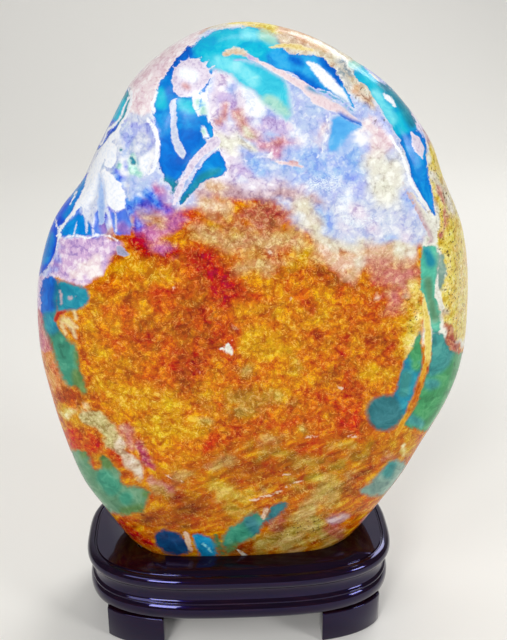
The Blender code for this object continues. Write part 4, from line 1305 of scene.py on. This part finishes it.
# Crumbs and clouds together run from the dark to the light of each pigment. In the bedded part
# the beds take over
mottle = -1.0 - MOTTLE_MIDDLE
for part, weight in (
    (pattern["cloud"], 2.0), (pattern["crumb"], 3.0), (pattern["grain"], 0.9), (cell, 0.8),
    (cells["Distance"], -1.1),
):
    mottle = add_node(tree, "Math", {0: part, 1: weight, 2: mottle}, operation="MULTIPLY_ADD").outputs[0]
beds = add_node(tree, "Math", {
    0: pattern["bed"], 1: BED_CONTRAST, 2: -BED_CONTRAST / 2,
}, operation="MULTIPLY_ADD").outputs[0]
bed_share = add_node(tree, "Math", {0: blur["Z"], 1: BED_SHARE}, operation="MULTIPLY").outputs[0]
mottle = add_node(tree, "Mix", {0: bed_share, 2: mottle, 3: beds}, data_type="FLOAT").outputs[0]
darkness, lightness = (
    add_node(tree, "MapRange", {
        "Value": mottle, "From Min": low, "From Max": high, "To Min": at_low, "To Max": 1.0 - at_low,
    }, interpolation_type="SMOOTHSTEP").outputs["Result"]
    for low, high, at_low in ((-0.75, -0.05, 1.0), (0.05, 0.75, 0.0))
)

# The edge of a window or vein follows the drawn line, frayed by the crumbs
edge, cover = {}, {}
for kind, axis, fray in (("window", "X", WINDOW_FRAY), ("vein", "Y", VEIN_FRAY)):
    frayed = add_node(tree, "Math", {
        0: pattern["crumb"], 1: fray, 2: -fray / 2,
    }, operation="MULTIPLY_ADD").outputs[0]
    edge[kind] = add_node(tree, "Math", {0: reach[axis], 1: frayed}, operation="ADD").outputs[0]
    outside = add_node(tree, "Math", {0: blur[axis], 1: -1.0}, operation="MULTIPLY").outputs[0]
    cover[kind] = add_node(tree, "MapRange", {
        "Value": edge[kind], "From Min": outside, "From Max": blur[axis],
    }, interpolation_type="SMOOTHSTEP").outputs["Result"]

# How each thing fades: what it follows, that value at both ends, and the strength at both ends
FADES = {
    "thread": (pattern["thread"], 0.008, 0.036, 1.0, 0.0),
    "thread_part": (pattern["crumb"], 0.42, 0.60, 0.0, 0.85),
    "crack": (pattern["crack"], 0.004, 0.024, 0.75, 0.0),
    "hue": (pattern["hue"], 0.3, 0.7, 0.478, 0.524),
    "low_painted_shade": (blur["Z"], 0.0, 1.0, 1.0, 0.90),
    "needle": (pattern["needle"], 0.01, 0.05, 0.9, 0.0),
    "speck": (pattern["grit"], 0.60, 0.66, 0.0, 0.85),
    "drift_light": (pattern["drift"], 0.50, 0.72, 0.0, 0.75),
    "drift_dark": (pattern["drift"], 0.28, 0.50, 0.9, 0.0),
    "shore": (edge["window"], 0.1, 1.6, 0.6, 0.0),
    "frosting": (edge["window"], -2.6, -0.5, 0.0, 1.1),
    "frost_part": (pattern["crumb"], 0.42, 0.56, 0.25, 1.0),
    "cool": (warm, 0.15, 0.6, 1.0, 0.15),
    "vein_core": (edge["vein"], 0.2, 1.1, 0.45, 1.0),
    "pepper": (pattern["grit"], 0.46, 0.66, 0.0, 0.65),
    "polish": (pattern["crumb"], 0.3, 0.7, 0.16, 0.26),
}
fades = {
    name: add_node(tree, "MapRange", {
        "Value": follows, "From Min": start, "From Max": end, "To Min": at_start, "To Max": at_end,
    }).outputs["Result"]
    for name, (follows, start, end, at_start, at_end) in FADES.items()
}
for name, *limits in (
    ("thread", fades["thread_part"], warm), ("crack", warm), ("needle", needles_here),
    ("speck", grit_here), ("frosting", fades["frost_part"], fades["cool"]), ("pepper", fades["vein_core"]),
):
    for limit in limits:
        fades[name] = add_node(tree, "Math", {0: fades[name], 1: limit}, operation="MULTIPLY").outputs[0]

# The body: pigment from dark to light, golden threads, dark cracks. Iron and chrome are never
# spread evenly, so it drifts in hue from place to place
thread_colour = add_node(tree, "Mix", {
    0: 0.3, 6: tint["body_light"], 7: linear(PALE_GOLD),
}, data_type="RGBA").outputs[2]
colour = tint["body"]
for strength, over in (
    (darkness, tint["body_dark"]), (lightness, tint["body_light"]), (fades["thread"], thread_colour),
    (fades["crack"], tint["body_dark"]),
):
    colour = add_node(tree, "Mix", {0: strength, 6: colour, 7: over}, data_type="RGBA").outputs[2]
# Low on the stone, in the bedded part, the body is painted a tenth darker as painted shade
body = add_node(tree, "HueSaturation", {
    "Hue": fades["hue"], "Saturation": 1.04, "Value": fades["low_painted_shade"], "Color": colour,
}).outputs["Color"]

# Windows are clear inside, with drifts of light, and darken where the clear stone runs out under
# its neighbours
colour = tint["window"]
for strength, over in (
    (fades["drift_light"], tint["window_light"]), (fades["drift_dark"], tint["window_dark"]),
    (fades["shore"], tint["window_dark"]),
):
    colour = add_node(tree, "Mix", {0: strength, 6: colour, 7: over}, data_type="RGBA").outputs[2]
window = colour

# Veins have a pale skin, and a core that is peppered with darker grains
# The same colours draw the painted highlights and the painted shade of the vein layer
colour = tint["vein_light"]
for strength, over in ((fades["vein_core"], tint["vein"]), (fades["pepper"], tint["vein_dark"])):
    colour = add_node(tree, "Mix", {0: strength, 6: colour, 7: over}, data_type="RGBA").outputs[2]
vein = colour

# White needles in the cloud, dark grit on the rim and frosting round the windows lie on the body,
# then come the windows, and the veins over them
colour = body
for strength, over in (
    (fades["needle"], linear(NEEDLE_WHITE)), (fades["speck"], linear(GRIT_BROWN)),
    (fades["frosting"], tint["body_light"]), (cover["window"], window), (cover["vein"], vein),
):
    colour = add_node(tree, "Mix", {0: strength, 6: colour, 7: over}, data_type="RGBA").outputs[2]

pitting = add_node(tree, "Bump", {
    "Height": pattern["grain"], "Strength": 0.05, "Distance": 0.0002,
}).outputs["Normal"]
shader = add_node(tree, "BsdfPrincipled", {
    "Base Color": colour, "Roughness": fades["polish"], "Normal": pitting, "IOR": 1.61,
    "Specular IOR Level": 0.13,
})
add_node(tree, "OutputMaterial", {"Surface": shader.outputs["BSDF"]})

mesh.to_mesh(stone.data)
mesh.free()
stone.data.shade_smooth()
opaque = np.ones((len(spots), 1))
for kind, look in {"body": ground, "window": window_look, "vein": vein_and_painted_light_look}.items():
    for tone, values in {"": look[:, 0:3], "_light": look[:, 3:6], "_dark": look[:, 6:9]}.items():
        layer = stone.data.attributes.new(kind + tone, "FLOAT_COLOR", "POINT")
        layer.data.foreach_set("color", np.hstack([values, opaque]).astype(np.float32).ravel())
for name, parts in {
    "reach": (window_inside, vein_and_painted_light_inside, np.zeros(len(spots))),
    "blur": (window_look[:, 9], vein_and_painted_light_look[:, 9], bedding_and_painted_shade),
    "trim": (grit, needles, warmth),
}.items():
    layer = stone.data.attributes.new(name, "FLOAT_VECTOR", "POINT")
    layer.data.foreach_set("vector", np.stack(parts, 1).astype(np.float32).ravel())
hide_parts("jade_boulder")
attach(stone, "root")

# Studio.
# A plain pale floor that sweeps up far behind, and soft white light: a lamp at the front left, a
# weaker one above the left shoulder, a fill at the right, one behind, a wash on the sweep, and a
# faint even sky.
FLOOR_HALF = 5.0
SWEEP_START = 1.2
SWEEP_RADIUS = 1.0
SWEEP_STEPS = 24
SKY_STRENGTH = 0.18
SWEEP_MIDDLE = Vector((0.3, SWEEP_START + SWEEP_RADIUS, 0.6))

mesh = bmesh.new()
ends = [
    bmesh.ops.create_vert(mesh, co=(side * FLOOR_HALF, -FLOOR_HALF, 0))["vert"][0] for side in (-1, 1)
]
grown = bmesh.ops.extrude_edge_only(mesh, edges=[mesh.edges.new(ends)])["geom"]
moved = [g for g in grown if isinstance(g, bmesh.types.BMVert)]
bmesh.ops.translate(mesh, verts=moved, vec=(0, FLOOR_HALF + SWEEP_START, 0))
swept = bmesh.ops.spin(
    mesh, geom=[g for g in grown if isinstance(g, (bmesh.types.BMVert, bmesh.types.BMEdge))],
    cent=(0, SWEEP_START, SWEEP_RADIUS), axis=(1, 0, 0), angle=math.radians(90), steps=SWEEP_STEPS,
)["geom_last"]
last_edges = [g for g in swept if isinstance(g, bmesh.types.BMEdge)]
grown = bmesh.ops.extrude_edge_only(mesh, edges=last_edges)["geom"]
moved = [g for g in grown if isinstance(g, bmesh.types.BMVert)]
bmesh.ops.translate(mesh, verts=moved, vec=(0, 0, FLOOR_HALF))
paper, tree = new_material("pale_studio_floor")
shader = add_node(tree, "BsdfPrincipled", {
    "Base Color": linear("#f0eee8"), "Roughness": 0.7, "Specular IOR Level": 0.2,
})
add_node(tree, "OutputMaterial", {"Surface": shader.outputs["BSDF"]})
floor = show_finished("studio_floor", mesh, paper)

sky = bpy.data.worlds.new("even_sky")
sky.use_nodes = True
sky.node_tree.nodes["Background"].inputs["Color"].default_value = linear("#f4f6ff")
sky.node_tree.nodes["Background"].inputs["Strength"].default_value = SKY_STRENGTH
bpy.context.scene.world = sky

# Each lamp: its place in metres, its width and height in metres, its watts, and what it lights
LAMPS = {
    "key_above_left": ((-0.9, -0.9, 1.5), (0.65, 0.65), 5.4, AIM),
    "fill_right": ((1.35, -0.95, 0.85), (0.42, 0.4), 8.8, AIM),
    "front_left": ((-0.58, -1.4, 0.95), (0.42, 0.5), 12.0, AIM),
    "back_right": ((0.7, 0.95, 1.2), (0.7, 0.5), 8.0, AIM),
    "backdrop_wash": ((0.3, 0.5, 2.4), (1.6, 0.8), 21.0, SWEEP_MIDDLE),
}
for name, (where, size, watts, lit) in LAMPS.items():
    lamp = bpy.data.lights.new(name, "AREA")
    lamp.shape = "RECTANGLE"
    lamp.size, lamp.size_y = size
    lamp.energy = watts
    holder = bpy.data.objects.new(name, lamp)
    holder.location = where
    holder.rotation_euler = (lit - Vector(where)).to_track_quat("-Z", "Y").to_euler()
    bpy.context.scene.collection.objects.link(holder)
bpy.context.scene.view_settings.view_transform = "Standard"
